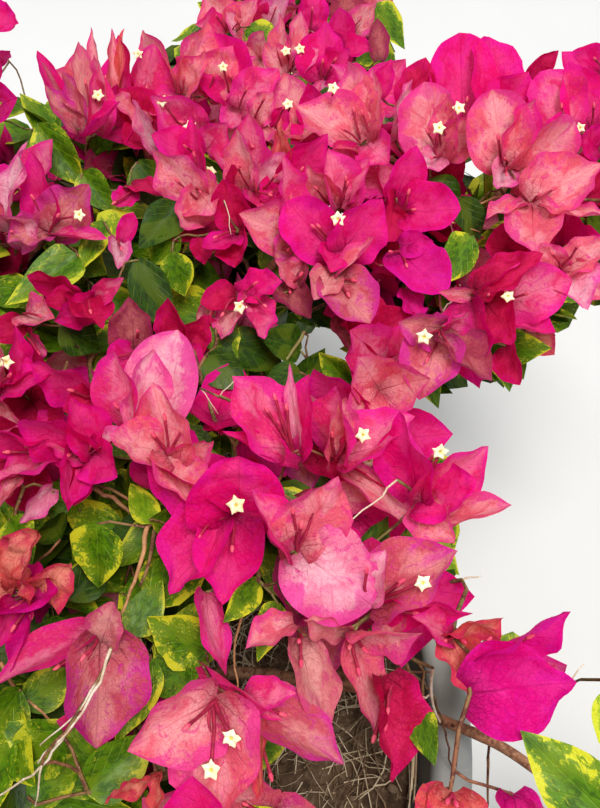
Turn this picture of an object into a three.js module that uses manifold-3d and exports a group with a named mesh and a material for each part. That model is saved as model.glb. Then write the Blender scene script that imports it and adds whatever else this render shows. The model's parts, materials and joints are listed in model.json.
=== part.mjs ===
// A bougainvillea bush in a round grey plastic pot.
//
// A short woody trunk with a root flare stands in the soil of the pot and forks
// into a dozen canes. They arch up over the rim and outwards, fork again, and
// carry low, uneven masses of bracts and variegated leaves. The bush is wider
// than it is tall: its tips reach well past the pot and droop below the rim.
//
// Millimetres, +Z up. The origin is the centre of the pot's flat underside.
import * as THREE from "three";
import { mergeVertices } from "three/addons/utils/BufferGeometryUtils.js";
import Module from "manifold-3d";

// ---- driving sizes ---------------------------------------------------------
const POT_HEIGHT = 400; // underside to the top of the lip
const LIP_RADIUS = 285; // outer edge of the rolled lip
const LIP_WIDTH = 24; // across the top of the lip
const LIP_DEPTH = 30; // height of the lip's outer band
const WALL = 6; // thickness of the pot's wall
const NECK_RADIUS = 266; // outside of the wall just under the lip
const FOOT_RADIUS = 208; // outside of the wall at the underside
const POT_SIDES = 36;
const SOIL_LEVEL = 338; // top of the soil round the trunk
const SOIL_ROUGH = 5; // unevenness of the soil
const GAP = 0.6; // clearance between neighbouring solids
const MASS_FACET = 4.4; // how finely a mass is faceted

const TRUNK_TOP = 424; // where the highest canes leave the trunk
const TRUNK_FOOT_R = 31; // over the root flare
const TRUNK_WAIST_R = 19;
const TRUNK_TOP_R = 15;
const TRUNK_LEAN = [9, 6]; // how far its top leans from its foot, in X and Y

const CANE_R = 6.6; // a main cane where it leaves the trunk
const CANE_TIP_R = 2.9; // where it enters its mass
const LIMB_R = 3.6; // a side limb where it leaves a cane
const LIMB_TIP_R = 2.3;

// ---- helpers ---------------------------------------------------------------
const V = (x, y, z) => new THREE.Vector3(x, y, z);

const wasm = await Module();
wasm.setup();

// A small repeatable random generator, so that every mass has its own shape.
function randomFrom(seed) {
  let s = seed >>> 0;
  return () => {
    s = (s + 0x6d2b79f5) >>> 0;
    let t = Math.imul(s ^ (s >>> 15), 1 | s);
    t = (t + Math.imul(t ^ (t >>> 7), 61 | t)) ^ t;
    return ((t ^ (t >>> 14)) >>> 0) / 4294967296;
  };
}

function solidFrom(geometry) {
  const bare = geometry.index ? geometry.toNonIndexed() : geometry.clone();
  for (const name of Object.keys(bare.attributes))
    if (name !== "position") bare.deleteAttribute(name);
  const merged = mergeVertices(bare, 1e-3);
  return new wasm.Manifold(
    new wasm.Mesh({
      numProp: 3,
      vertProperties: new Float32Array(merged.attributes.position.array),
      triVerts: new Uint32Array(merged.index.array),
    }),
  );
}

function geometryFrom(solid) {
  const mesh = solid.getMesh();
  const n = mesh.numProp;
  const points = new Float32Array(mesh.numVert * 3);
  for (let i = 0; i < mesh.numVert; i++)
    points.set(mesh.vertProperties.subarray(i * n, i * n + 3), i * 3);
  const g = new THREE.BufferGeometry();
  g.setAttribute("position", new THREE.BufferAttribute(points, 3));
  g.setIndex(new THREE.BufferAttribute(new Uint32Array(mesh.triVerts), 1));
  g.computeVertexNormals();
  return g;
}

// The largest body of a cut solid.
function largest(solid) {
  const bodies = solid.decompose();
  return bodies.reduce((a, b) => (b.volume() > a.volume() ? b : a));
}

// The body of a cut solid that holds the most of a small ball at a point.
function bodyAt(solid, p, r) {
  const ball = solidFrom(
    new THREE.IcosahedronGeometry(r, 2).translate(p.x, p.y, p.z),
  );
  let best = null;
  let most = -1;
  for (const body of solid.decompose()) {
    const v = body.intersect(ball).volume();
    if (v > most) [best, most] = [body, v];
  }
  return best;
}

// A tapering limb along a smooth line: rings of `sides` points, closed at both
// ends. `radius(t)` is its radius from 0 to 1 along it, `shape(t, a)` a factor
// round it, and `grow` makes the same limb a little fatter, as a cutter.
function limb(points, radius, { sides = 6, step = 48, grow = 0, shape } = {}) {
  const line = new THREE.CatmullRomCurve3(points, false, "centripetal");
  const rings = Math.max(4, Math.round(line.getLength() / step));
  const frames = line.computeFrenetFrames(rings, false);
  const at = [];
  for (let i = 0; i <= rings; i++) {
    const t = i / rings;
    const c = line.getPointAt(t);
    for (let k = 0; k < sides; k++) {
      const a = (2 * Math.PI * k) / sides;
      const r = radius(t) * (shape ? shape(t, a) : 1) + grow;
      at.push(
        c
          .clone()
          .addScaledVector(frames.normals[i], r * Math.cos(a))
          .addScaledVector(frames.binormals[i], r * Math.sin(a)),
      );
    }
  }
  const first = line.getPointAt(0).addScaledVector(frames.tangents[0], -grow);
  const last = line.getPointAt(1).addScaledVector(frames.tangents[rings], grow);
  at.push(first, last);
  const faces = [];
  for (let i = 0; i < rings; i++)
    for (let k = 0; k < sides; k++) {
      const a = i * sides + k;
      const b = i * sides + ((k + 1) % sides);
      faces.push(a, b, b + sides, a, b + sides, a + sides);
    }
  for (let k = 0; k < sides; k++) {
    const n = (k + 1) % sides;
    faces.push(at.length - 2, n, k);
    faces.push(at.length - 1, rings * sides + k, rings * sides + n);
  }
  const g = new THREE.BufferGeometry().setFromPoints(at);
  g.setIndex(faces);
  return solidFrom(g);
}

// ---- the pot ---------------------------------------------------------------
const potProfile = [
  [0, 0],
  [FOOT_RADIUS - 6, 0],
  [FOOT_RADIUS, 5],
  [NECK_RADIUS, POT_HEIGHT - LIP_DEPTH - 2],
  [LIP_RADIUS - 4, POT_HEIGHT - LIP_DEPTH],
  [LIP_RADIUS, POT_HEIGHT - LIP_DEPTH + 5],
  [LIP_RADIUS, POT_HEIGHT - 9],
  [LIP_RADIUS - 3.5, POT_HEIGHT - 2.5],
  [LIP_RADIUS - 10, POT_HEIGHT],
  [LIP_RADIUS - LIP_WIDTH + 6, POT_HEIGHT],
  [LIP_RADIUS - LIP_WIDTH, POT_HEIGHT - 5],
  [NECK_RADIUS - WALL, POT_HEIGHT - LIP_DEPTH],
  [FOOT_RADIUS - WALL, WALL + 3],
  [0, WALL + 3],
];
const lathe = (profile) =>
  new THREE.LatheGeometry(
    profile.map(([r, z]) => new THREE.Vector2(r, z)),
    POT_SIDES,
  ).rotateX(Math.PI / 2);

// Radius of the pot's inner wall at a height.
const innerWall = (z) => {
  const low = WALL + 3;
  const high = POT_HEIGHT - LIP_DEPTH;
  const t = (z - low) / (high - low);
  return FOOT_RADIUS - WALL + t * (NECK_RADIUS - FOOT_RADIUS);
};

// ---- the soil, filling the pot to a few centimetres under the lip ----------
function soilGeometry() {
  const base = WALL + 3 + GAP;
  const side = (z) => innerWall(z) - GAP - 0.3;
  const g = lathe([
    [0, base],
    [side(base), base],
    [side(SOIL_LEVEL), SOIL_LEVEL],
    [190, SOIL_LEVEL + 2],
    [115, SOIL_LEVEL + 1],
    [50, SOIL_LEVEL],
    [0, SOIL_LEVEL],
  ]);
  const p = g.attributes.position;
  for (let i = 0; i < p.count; i++) {
    const r = Math.hypot(p.getX(i), p.getY(i));
    if (p.getZ(i) < SOIL_LEVEL - 1 || r < 60 || r > 230) continue;
    const a = Math.atan2(p.getY(i), p.getX(i));
    p.setZ(
      i,
      p.getZ(i) +
        SOIL_ROUGH *
          (Math.sin(3 * a + r / 31) * 0.6 + Math.sin(7 * a - r / 17) * 0.4),
    );
  }
  return g;
}

// ---- the trunk: a short stem with a root flare, flat where it meets the soil
const trunkFoot = new THREE.Vector3(0, 0, SOIL_LEVEL + GAP);
const trunkTop = new THREE.Vector3(TRUNK_LEAN[0], TRUNK_LEAN[1], TRUNK_TOP);
const trunkRadius = (t) =>
  t < 0.35
    ? THREE.MathUtils.lerp(
        TRUNK_FOOT_R,
        TRUNK_WAIST_R,
        Math.sin(((t / 0.35) * Math.PI) / 2),
      )
    : THREE.MathUtils.lerp(TRUNK_WAIST_R, TRUNK_TOP_R, (t - 0.35) / 0.65);
const flare = (t, a) =>
  1 + 0.16 * Math.max(0, 1 - t / 0.35) * Math.cos(5 * a + 0.6);
function trunk(grow = 0) {
  const points = [V(0, 0, trunkFoot.z - 8)];
  for (let i = 1; i <= 4; i++) {
    const t = i / 4;
    // It leaves the soil upright and leans as it rises.
    points.push(
      V(
        TRUNK_LEAN[0] * t * t,
        TRUNK_LEAN[1] * t * t,
        THREE.MathUtils.lerp(trunkFoot.z, trunkTop.z, t),
      ),
    );
  }
  const ground = solidFrom(
    new THREE.BoxGeometry(200, 200, 60).translate(0, 0, trunkFoot.z - 30),
  );
  return limb(points, trunkRadius, {
    sides: 10,
    step: 17,
    grow,
    shape: flare,
  }).subtract(ground);
}

// ---- the masses of bracts and leaves ---------------------------------------
// name: [centre x, y, z], [radius x, y, z], seed
const MASSES = {
  // the side that the reference view looks down on: right and back of the pot
  front_low: [[138, -40, 505], [82, 60, 46], 3],
  front_right: [[244, 24, 506], [82, 52, 42], 5],
  front_centre: [[154, 90, 518], [80, 62, 50], 7],
  right_inner: [[240, 122, 502], [56, 42, 42], 9],
  left_front: [[34, 34, 506], [68, 62, 50], 11],
  left_middle: [[50, 142, 505], [84, 64, 54], 13],
  left_back: [[16, 258, 506], [86, 74, 60], 15],
  middle: [[176, 262, 492], [110, 86, 64], 17],
  right_middle: [[276, 222, 464], [60, 48, 48], 21],
  right_back: [[336, 332, 500], [108, 92, 70], 23],
  back_left: [[32, 414, 436], [94, 86, 62], 25],
  back_middle: [[160, 502, 405], [120, 96, 64], 27],
  back_tip: [[168, 672, 338], [112, 82, 54], 29],
  // the sides that it doesn't show
  crown: [[-84, 62, 566], [128, 118, 84], 31],
  crown_front: [[-56, -122, 548], [126, 106, 80], 33],
  far_left_back: [[-122, 300, 498], [112, 118, 74], 35],
  far_left_back_outer: [[-238, 520, 404], [122, 106, 66], 37],
  left_upper: [[-244, 146, 518], [122, 118, 78], 39],
  left_outer: [[-498, 186, 420], [134, 116, 66], 41],
  left_front_upper: [[-246, -98, 506], [122, 114, 76], 45],
  left_front_outer: [[-452, -232, 410], [126, 112, 64], 47],
  front_left: [[-128, -298, 476], [122, 108, 72], 49],
  front_left_tip: [[-236, -518, 372], [118, 102, 58], 51],
  front: [[56, -214, 484], [108, 96, 68], 53],
  front_outer: [[92, -428, 410], [118, 108, 62], 55],
  right_front: [[226, -186, 474], [94, 84, 62], 57],
  right_front_outer: [[366, -338, 398], [108, 94, 58], 59],
  right_tip: [[440, -160, 420], [92, 84, 56], 61],
};

// An uneven, closed mass: an ellipsoid with seeded lumps and hollows, flatter
// underneath than on top.
function mass([centre, radii, seed]) {
  const random = randomFrom(seed * 7919);
  const lumps = [];
  for (let i = 0; i < 11; i++) {
    const z = 2 * random() - 1;
    const a = 2 * Math.PI * random();
    const s = Math.sqrt(1 - z * z);
    lumps.push({
      way: new THREE.Vector3(s * Math.cos(a), s * Math.sin(a), z),
      high: (random() < 0.72 ? 0.26 : -0.24) * (0.55 + 0.45 * random()),
      wide: 0.35 + 0.3 * random(),
    });
  }
  const g = new THREE.IcosahedronGeometry(1, 2);
  const p = g.attributes.position;
  const d = new THREE.Vector3();
  for (let i = 0; i < p.count; i++) {
    d.fromBufferAttribute(p, i).normalize();
    let f = 0.93;
    for (const l of lumps) {
      const near = d.angleTo(l.way) / l.wide;
      f += l.high * Math.exp(-near * near);
    }
    if (d.z < 0) f *= 1 + 0.22 * d.z;
    p.setXYZ(
      i,
      centre[0] + d.x * radii[0] * f,
      centre[1] + d.y * radii[1] * f,
      centre[2] + d.z * radii[2] * f,
    );
  }
  return solidFrom(g).simplify(MASS_FACET);
}

// The same shape a little larger, to cut its neighbours clear of it.
function clearOf(name) {
  const [centre, radii] = MASSES[name];
  const k = 1 + GAP / Math.min(...radii) / 0.7;
  return masses
    .get(name)
    .translate(centre.map((c) => -c))
    .scale(k)
    .translate(centre);
}

const masses = new Map();
for (const [name, spec] of Object.entries(MASSES)) masses.set(name, mass(spec));

// ---- the canes and limbs ---------------------------------------------------
const centreOf = (name) => V(...MASSES[name][0]);

// Main canes leave the trunk. name: mass it enters, height it leaves at, how
// far its middle arches above the straight way, how far it sways aside, and how
// slim it is beside the others.
const CANES = {
  front: ["front_low", 414, -14, -8],
  right: ["right_tip", 400, 8, 80, 0.68],
  front_right: ["front_centre", 420, -12, 10],
  right_back: ["right_back", 408, -16, -14],
  left_middle: ["left_middle", 404, -8, 8],
  back: ["back_middle", 390, 10, -12],
  crown: ["crown", 418, -6, 10],
  far_left_back: ["far_left_back", 396, -4, -14],
  left: ["left_upper", 402, -6, 12],
  left_front: ["left_front_upper", 394, -6, -12],
  front_left: ["front_left", 406, 0, 14],
  front_outer: ["front", 392, -2, -10],
  right_front: ["right_front", 384, 0, -16],
};

// Side limbs leave a cane at a share of its length. name: cane, share, mass.
const LIMBS = {
  to_front_right: ["right", 0.36, "front_right"],
  to_left_front: ["left_middle", 0.35, "left_front"],
  to_right_inner: ["right_back", 0.42, "right_inner"],
  to_right_middle: ["right_back", 0.6, "right_middle"],
  to_middle: ["back", 0.42, "middle"],
  to_back_left: ["back", 0.62, "back_left"],
  to_left_back: ["far_left_back", 0.55, "left_back"],
  to_crown_front: ["crown", 0.3, "crown_front"],
};

// Outer limbs run on from one mass into the next.
const OUTER = {
  outer_back: ["back_middle", "back_tip"],
  outer_far_left_back: ["far_left_back", "far_left_back_outer"],
  outer_left: ["left_upper", "left_outer"],
  outer_left_front: ["left_front_upper", "left_front_outer"],
  outer_front_left: ["front_left", "front_left_tip"],
  outer_front: ["front", "front_outer"],
  outer_right_front: ["right_front", "right_front_outer"],
};

// A cane starts inside the trunk, rises outwards and arches to its mass. Its
// way in keeps under the other masses and over the lip of the pot.
function canePoints([target, height, arch, sway]) {
  const end = centreOf(target);
  const aside = V(-end.y, end.x, 0).normalize();
  const start = trunkFoot.clone().lerp(trunkTop, (height - SOIL_LEVEL) / 86);
  start.z = height;
  const points = [start];
  const rise = end.z - height;
  for (const [s, up] of [
    [0.16, 0.3],
    [0.36, 0.46],
    [0.56, 0.56],
    [0.78, 0.72],
  ]) {
    const z = height + rise * up + arch * Math.sin(Math.PI * s);
    const at = start
      .clone()
      .lerp(end, s)
      .addScaledVector(aside, sway * Math.sin(Math.PI * s));
    // Over the lip it stays clear of the pot.
    const r = Math.hypot(at.x, at.y);
    const lowest = r > 200 && r < 330 ? POT_HEIGHT + 26 : 0;
    points.push(V(at.x, at.y, Math.max(z, lowest)));
  }
  points.push(end);
  return points;
}
const taper = (a, b) => (t) => a + (b - a) * Math.pow(t, 0.8);

const caneLines = {};
const limbShapes = new Map(); // name -> { make(grow), start, target, from }
for (const [name, spec] of Object.entries(CANES)) {
  const points = canePoints(spec);
  const slim = spec[4] ?? 1;
  const radius = taper(CANE_R * slim, CANE_TIP_R * slim);
  caneLines[name] = new THREE.CatmullRomCurve3(points, false, "centripetal");
  limbShapes.set("cane_" + name, {
    make: (grow) => limb(points, radius, { grow }),
    start: caneLines[name].getPointAt(0.22),
    target: spec[0],
  });
}
for (const [name, [cane, share, target]] of Object.entries(LIMBS)) {
  const start = caneLines[cane].getPointAt(share);
  const along = caneLines[cane].getTangentAt(share);
  const end = centreOf(target);
  const gone = start.distanceTo(end);
  const points = [
    start,
    start
      .clone()
      .addScaledVector(along, gone * 0.2)
      .lerp(end, 0.18),
    start
      .clone()
      .lerp(end, 0.62)
      .add(V(0, 0, -8)),
    end,
  ];
  limbShapes.set("limb_" + name, {
    make: (grow) => limb(points, taper(LIMB_R, LIMB_TIP_R), { grow, sides: 5 }),
    start: new THREE.CatmullRomCurve3(points, false, "centripetal").getPointAt(
      0.35,
    ),
    target,
  });
}
for (const [name, [from, target]] of Object.entries(OUTER)) {
  const a = centreOf(from);
  const b = centreOf(target);
  const points = [
    a.clone().lerp(b, 0.05),
    a
      .clone()
      .lerp(b, 0.5)
      .add(V(0, 0, 10)),
    b,
  ];
  limbShapes.set("limb_" + name, {
    make: (grow) => limb(points, taper(LIMB_R, LIMB_TIP_R), { grow, sides: 5 }),
    start: a.clone().lerp(b, 0.5).add(V(0, 0, 10)),
    target,
    from,
  });
}

// ---- putting it together: each piece is cut clear of those before it --------
const COLOURS = {
  pot: [0x8c9294, 0.55],
  soil: [0x4a3d30, 0.95],
  trunk: [0x7d664c, 0.85],
  cane: [0x8a6242, 0.75],
  foliage: [0xd42f6c, 0.8],
  leafy: [0x4f7a2b, 0.7],
};
const bush = new THREE.Group();
function add(name, solid, kind) {
  const [color, roughness] = COLOURS[kind];
  const mesh = new THREE.Mesh(
    geometryFrom(solid),
    new THREE.MeshStandardMaterial({ color, roughness, metalness: 0 }),
  );
  mesh.name = name;
  bush.add(mesh);
}

const pot = solidFrom(lathe(potProfile));
add("pot", pot, "pot");
add("soil", solidFrom(soilGeometry()), "soil");
add("trunk", trunk(), "trunk");

const taken = [trunk(GAP)];

// A limb ends at the face of its own mass, and starts at the face of the cane
// or mass that it leaves.
const limbs = new Map();
for (const [name, shape] of limbShapes) {
  let solid = shape.make(0);
  solid = solid.subtract(clearOf(shape.target));
  if (shape.from) solid = solid.subtract(clearOf(shape.from));
  for (const other of taken) solid = solid.subtract(other);
  const body = bodyAt(solid, shape.start, 12);
  if (!body) throw new Error(`nothing is left of ${name}`);
  limbs.set(name, body);
  taken.push(shape.make(GAP));
}
for (const [name, solid] of limbs)
  add(name, solid, name.startsWith("cane_") ? "cane" : "cane");

// A mass gives way to a cane that runs on past it, and to its neighbours.
const LEAFY = new Set(["left_front", "left_middle"]);
const doneMasses = [];
for (const [name, raw] of masses) {
  let solid = raw;
  for (const [limbName, shape] of limbShapes)
    if (shape.target !== name && shape.from !== name) {
      const cutter = shape.make(GAP);
      if (limbs.get(limbName).intersect(solid).volume() > 0)
        solid = solid.subtract(cutter);
    }
  for (const other of doneMasses) solid = solid.subtract(other);
  add(
    "foliage_" + name,
    largest(solid).simplify(0.2),
    LEAFY.has(name) ? "leafy" : "foliage",
  );
  doneMasses.push(clearOf(name));
}

export default bush;
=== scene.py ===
import json
import math

import bpy
import numpy as np
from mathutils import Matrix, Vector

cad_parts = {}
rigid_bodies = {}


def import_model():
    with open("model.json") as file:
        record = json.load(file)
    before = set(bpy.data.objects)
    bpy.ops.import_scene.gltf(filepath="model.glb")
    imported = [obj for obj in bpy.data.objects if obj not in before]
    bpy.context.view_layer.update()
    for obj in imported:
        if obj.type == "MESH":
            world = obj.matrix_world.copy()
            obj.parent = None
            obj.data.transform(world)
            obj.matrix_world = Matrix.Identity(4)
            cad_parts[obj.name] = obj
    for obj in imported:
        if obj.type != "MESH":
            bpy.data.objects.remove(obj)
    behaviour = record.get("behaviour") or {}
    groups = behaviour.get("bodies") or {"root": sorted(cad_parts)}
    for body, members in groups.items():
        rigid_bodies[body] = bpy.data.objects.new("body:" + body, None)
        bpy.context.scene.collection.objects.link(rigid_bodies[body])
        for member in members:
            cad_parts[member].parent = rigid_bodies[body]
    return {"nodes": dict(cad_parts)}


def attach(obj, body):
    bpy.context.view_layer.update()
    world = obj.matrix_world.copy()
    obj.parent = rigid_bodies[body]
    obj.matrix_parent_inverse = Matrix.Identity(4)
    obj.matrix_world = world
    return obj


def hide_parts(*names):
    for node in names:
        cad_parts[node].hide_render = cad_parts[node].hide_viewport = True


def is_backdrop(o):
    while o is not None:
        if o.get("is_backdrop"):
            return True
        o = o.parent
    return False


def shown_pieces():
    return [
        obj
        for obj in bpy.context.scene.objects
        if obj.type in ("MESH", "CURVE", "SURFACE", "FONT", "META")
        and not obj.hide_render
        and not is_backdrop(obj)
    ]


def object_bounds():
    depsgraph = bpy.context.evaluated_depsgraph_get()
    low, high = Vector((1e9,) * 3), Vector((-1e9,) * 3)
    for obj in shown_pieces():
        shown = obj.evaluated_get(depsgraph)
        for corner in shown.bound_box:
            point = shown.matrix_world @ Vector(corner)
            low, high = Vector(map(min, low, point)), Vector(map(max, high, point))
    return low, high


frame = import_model()
low_before, high_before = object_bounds()
rng = np.random.default_rng(40617)
NODES = frame["nodes"]

# ---------------------------------------------------------------- vectors ---
EYE = np.array([0.186, -0.078, 0.885])
PITCH = math.radians(60)
FOCAL = 800.0  # in pixels of a view of WIDE x HIGH
WIDE, HIGH = 600, 808
AHEAD = np.array([0.0, math.cos(PITCH), -math.sin(PITCH)])
UPWARD = np.array([0.0, math.sin(PITCH), math.cos(PITCH)])
ACROSS = np.array([1.0, 0.0, 0.0])
UP = np.array([0.0, 0.0, 1.0])


def unit(v):
    v = np.asarray(v, float)
    n = np.linalg.norm(v, axis=-1, keepdims=True)
    return v / np.maximum(n, 1e-12)


def seen_at(px, py, s):
    """The point seen at a place in the view, where s pixels are a centimetre."""
    z = 8.0 / s
    return (
        EYE
        + ACROSS * ((px - WIDE / 2) / FOCAL * z)
        + UPWARD * ((HIGH / 2 - py) / FOCAL * z)
        + AHEAD * z
    )


def shown_at(points):
    """Places in the view, and depths, of points."""
    d = np.atleast_2d(points) - EYE
    z = np.maximum(d @ AHEAD, 1e-3)
    x = WIDE / 2 + FOCAL * (d @ ACROSS) / z
    y = HIGH / 2 - FOCAL * (d @ UPWARD) / z
    return x, y, z


SCALE_Y = [-60, 15, 60, 108, 160, 219, 280, 340, 410, 470, 560, 650, 700, 770, 808, 900]
SCALE_S = [9.3, 9.9, 11.8, 14.6, 16.0, 17.0, 17.8, 18.7, 21.0, 21.5, 23.0, 23.5, 24.5]
SCALE_S += [26.0, 27.0, 28.0]


def scale_at(py):
    return float(np.interp(py, SCALE_Y, SCALE_S))


def frames_of(along, face):
    """Rotation matrices with columns (across, along, face), face made square to along."""
    y = unit(along)
    z = face - (face * y).sum(-1, keepdims=True) * y
    short = np.linalg.norm(z, axis=-1) < 1e-4
    z[short] = np.cross(y[short], [0.31, 0.77, 0.55])
    z = unit(z)
    x = np.cross(y, z)
    return np.stack([x, y, z], axis=-1)


# ----------------------------------------------------------------- meshes ---
def build(name, verts, faces, material, uvs=None, smooth=True):
    """A mesh object. faces is a list of (n, k) arrays, uvs a list of (n, k, 2) arrays."""
    me = bpy.data.meshes.new(name)
    verts = np.ascontiguousarray(verts, np.float32)
    me.vertices.add(len(verts))
    me.vertices.foreach_set("co", verts.ravel())
    loops = np.concatenate([f.ravel() for f in faces]).astype(np.int32)
    counts = np.concatenate([np.full(len(f), f.shape[1]) for f in faces])
    starts = np.concatenate([[0], np.cumsum(counts)[:-1]]).astype(np.int32)
    me.loops.add(len(loops))
    me.loops.foreach_set("vertex_index", loops)
    me.polygons.add(len(counts))
    me.polygons.foreach_set("loop_start", starts)
    if uvs is not None:
        layer = me.uv_layers.new(name="OFBake")
        flat = np.concatenate([u.reshape(-1, 2) for u in uvs]).astype(np.float32)
        layer.data.foreach_set("uv", flat.ravel())
    me.update(calc_edges=True)
    me.validate()
    me.polygons.foreach_set("use_smooth", np.full(len(me.polygons), smooth))
    me.materials.append(material)
    ob = bpy.data.objects.new(name, me)
    bpy.context.scene.collection.objects.link(ob)
    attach(ob, "root")
    return ob


class Heap:
    """Meshes gathered up to be one piece."""

    def __init__(self):
        self.verts, self.faces, self.count = [], {}, 0

    def add(self, verts, faces):
        for f in faces:
            if len(f):
                self.faces.setdefault(f.shape[1], []).append(f + self.count)
        self.verts.append(verts)
        self.count += len(verts)

    def triangles(self):
        return sum((k - 2) * sum(len(f) for f in fs) for k, fs in self.faces.items())

    def made(self, name, material, smooth=True, body_slot=None):
        faces = [np.concatenate(fs) for fs in self.faces.values()]
        return build(
            name, np.concatenate(self.verts), faces, material, None, smooth
        )


# ------------------------------------------------------ lines of the canes ---
def catmull(points, n=200):
    """The centripetal Catmull-Rom line that the CAD uses, with n + 1 evenly spaced points."""
    p = np.asarray(points, float)
    p = np.vstack([2 * p[0] - p[1], p, 2 * p[-1] - p[-2]])
    out = []
    for i in range(1, len(p) - 2):
        p0, p1, p2, p3 = p[i - 1], p[i], p[i + 1], p[i + 2]
        d0, d1, d2 = (
            max(np.linalg.norm(b - a) ** 0.5, 1e-4) for a, b in ((p0, p1), (p1, p2), (p2, p3))
        )
        t1 = ((p1 - p0) / d0 - (p2 - p0) / (d0 + d1) + (p2 - p1) / d1) * d1
        t2 = ((p2 - p1) / d1 - (p3 - p1) / (d1 + d2) + (p3 - p2) / d2) * d1
        t = np.linspace(0, 1, 60, endpoint=(i == len(p) - 3))[:, None]
        out.append(
            p1
            + t * t1
            + t**2 * (-3 * p1 + 3 * p2 - 2 * t1 - t2)
            + t**3 * (2 * p1 - 2 * p2 + t1 + t2)
        )
    return spaced(np.vstack(out), n + 1)


def spaced(line, count):
    """A polyline with that many points, evenly spaced along the same way."""
    line = np.asarray(line, float)
    gone = np.concatenate([[0], np.cumsum(np.linalg.norm(np.diff(line, axis=0), axis=1))])
    want = np.linspace(0, gone[-1], count)
    return np.stack([np.interp(want, gone, line[:, k]) for k in range(3)], axis=1)


def length_of(line):
    return float(np.linalg.norm(np.diff(line, axis=0), axis=1).sum())


MASSES = {
    "front_low": (138, -40, 505),
    "front_right": (244, 24, 506),
    "front_centre": (154, 90, 518),
    "right_inner": (240, 122, 502),
    "left_front": (34, 34, 506),
    "left_middle": (50, 142, 505),
    "left_back": (16, 258, 506),
    "middle": (176, 262, 492),
    "right_middle": (276, 222, 464),
    "right_back": (336, 332, 500),
    "back_left": (32, 414, 436),
    "back_middle": (160, 502, 405),
    "back_tip": (168, 672, 338),
    "crown": (-84, 62, 566),
    "crown_front": (-56, -122, 548),
    "far_left_back": (-122, 300, 498),
    "far_left_back_outer": (-238, 520, 404),
    "left_upper": (-244, 146, 518),
    "left_outer": (-498, 186, 420),
    "left_front_upper": (-246, -98, 506),
    "left_front_outer": (-452, -232, 410),
    "front_left": (-128, -298, 476),
    "front_left_tip": (-236, -518, 372),
    "front": (56, -214, 484),
    "front_outer": (92, -428, 410),
    "right_front": (226, -186, 474),
    "right_front_outer": (366, -338, 398),
    "right_tip": (440, -160, 420),
}
CENTRES = {k: np.array(v) / 1000 for k, v in MASSES.items()}
CANES = {
    "front": ("front_low", 414, -14, -8),
    "right": ("right_tip", 400, 8, 80),
    "front_right": ("front_centre", 420, -12, 10),
    "right_back": ("right_back", 408, -16, -14),
    "left_middle": ("left_middle", 404, -8, 8),
    "back": ("back_middle", 390, 10, -12),
    "crown": ("crown", 418, -6, 10),
    "far_left_back": ("far_left_back", 396, -4, -14),
    "left": ("left_upper", 402, -6, 12),
    "left_front": ("left_front_upper", 394, -6, -12),
    "front_left": ("front_left", 406, 0, 14),
    "front_outer": ("front", 392, -2, -10),
    "right_front": ("right_front", 384, 0, -16),
}
LIMBS = {
    "to_front_right": ("right", 0.36, "front_right"),
    "to_left_front": ("left_middle", 0.35, "left_front"),
    "to_right_inner": ("right_back", 0.42, "right_inner"),
    "to_right_middle": ("right_back", 0.6, "right_middle"),
    "to_middle": ("back", 0.42, "middle"),
    "to_back_left": ("back", 0.62, "back_left"),
    "to_left_back": ("far_left_back", 0.55, "left_back"),
    "to_crown_front": ("crown", 0.3, "crown_front"),
}
OUTER = {
    "outer_back": ("back_middle", "back_tip"),
    "outer_far_left_back": ("far_left_back", "far_left_back_outer"),
    "outer_left": ("left_upper", "left_outer"),
    "outer_left_front": ("left_front_upper", "left_front_outer"),
    "outer_front_left": ("front_left", "front_left_tip"),
    "outer_front": ("front", "front_outer"),
    "outer_right_front": ("right_front", "right_front_outer"),
}
SOIL = 0.338
FOOT = np.array([0, 0, SOIL + 0.0006])
TOP = np.array([0.009, 0.006, 0.424])


def cane_line(target, height, arch, sway):
    end = CENTRES[target]
    height, arch, sway = height / 1000, arch / 1000, sway / 1000
    aside = unit([-end[1], end[0], 0])
    start = FOOT + (TOP - FOOT) * ((height - SOIL) / 0.086)
    start[2] = height
    points = [start]
    for s, up in ((0.16, 0.3), (0.36, 0.46), (0.56, 0.56), (0.78, 0.72)):
        z = height + (end[2] - height) * up + arch * math.sin(math.pi * s)
        at = start + (end - start) * s + aside * sway * math.sin(math.pi * s)
        r = math.hypot(at[0], at[1])
        points.append([at[0], at[1], max(z, 0.426 if 0.2 < r < 0.33 else 0)])
    return catmull(points + [end])


LINES = {}  # CAD node: (line, radius at its start, radius at its end, mass)
SLIM = {"right": 0.68}
for name, spec in CANES.items():
    slim = SLIM.get(name, 1.0)
    LINES["cane_" + name] = (cane_line(*spec), 0.0066 * slim, 0.0029 * slim, spec[0])
for name, (cane, share, target) in LIMBS.items():
    line = LINES["cane_" + cane][0]
    i = round(share * 200)
    start, end = line[i], CENTRES[target]
    way = unit(line[i + 1] - line[i - 1])
    gone = np.linalg.norm(end - start)
    second = start + way * gone * 0.2
    second = second + (end - second) * 0.18
    third = start + (end - start) * 0.62 - UP * 0.008
    LINES["limb_" + name] = (catmull([start, second, third, end]), 0.0036, 0.0023, target)
for name, (a, b) in OUTER.items():
    a, b_at = CENTRES[a], CENTRES[b]
    points = [a + (b_at - a) * 0.05, a + (b_at - a) * 0.5 + UP * 0.01, b_at]
    LINES["limb_" + name] = (catmull(points), 0.0036, 0.0023, b)


# -------------------------------------------------------------- materials ---
def linear(r, g, b):
    c = np.array([r, g, b]) / 255
    c = np.where(c <= 0.04045, c / 12.92, ((c + 0.055) / 1.055) ** 2.4)
    return (*c, 1.0)


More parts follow.
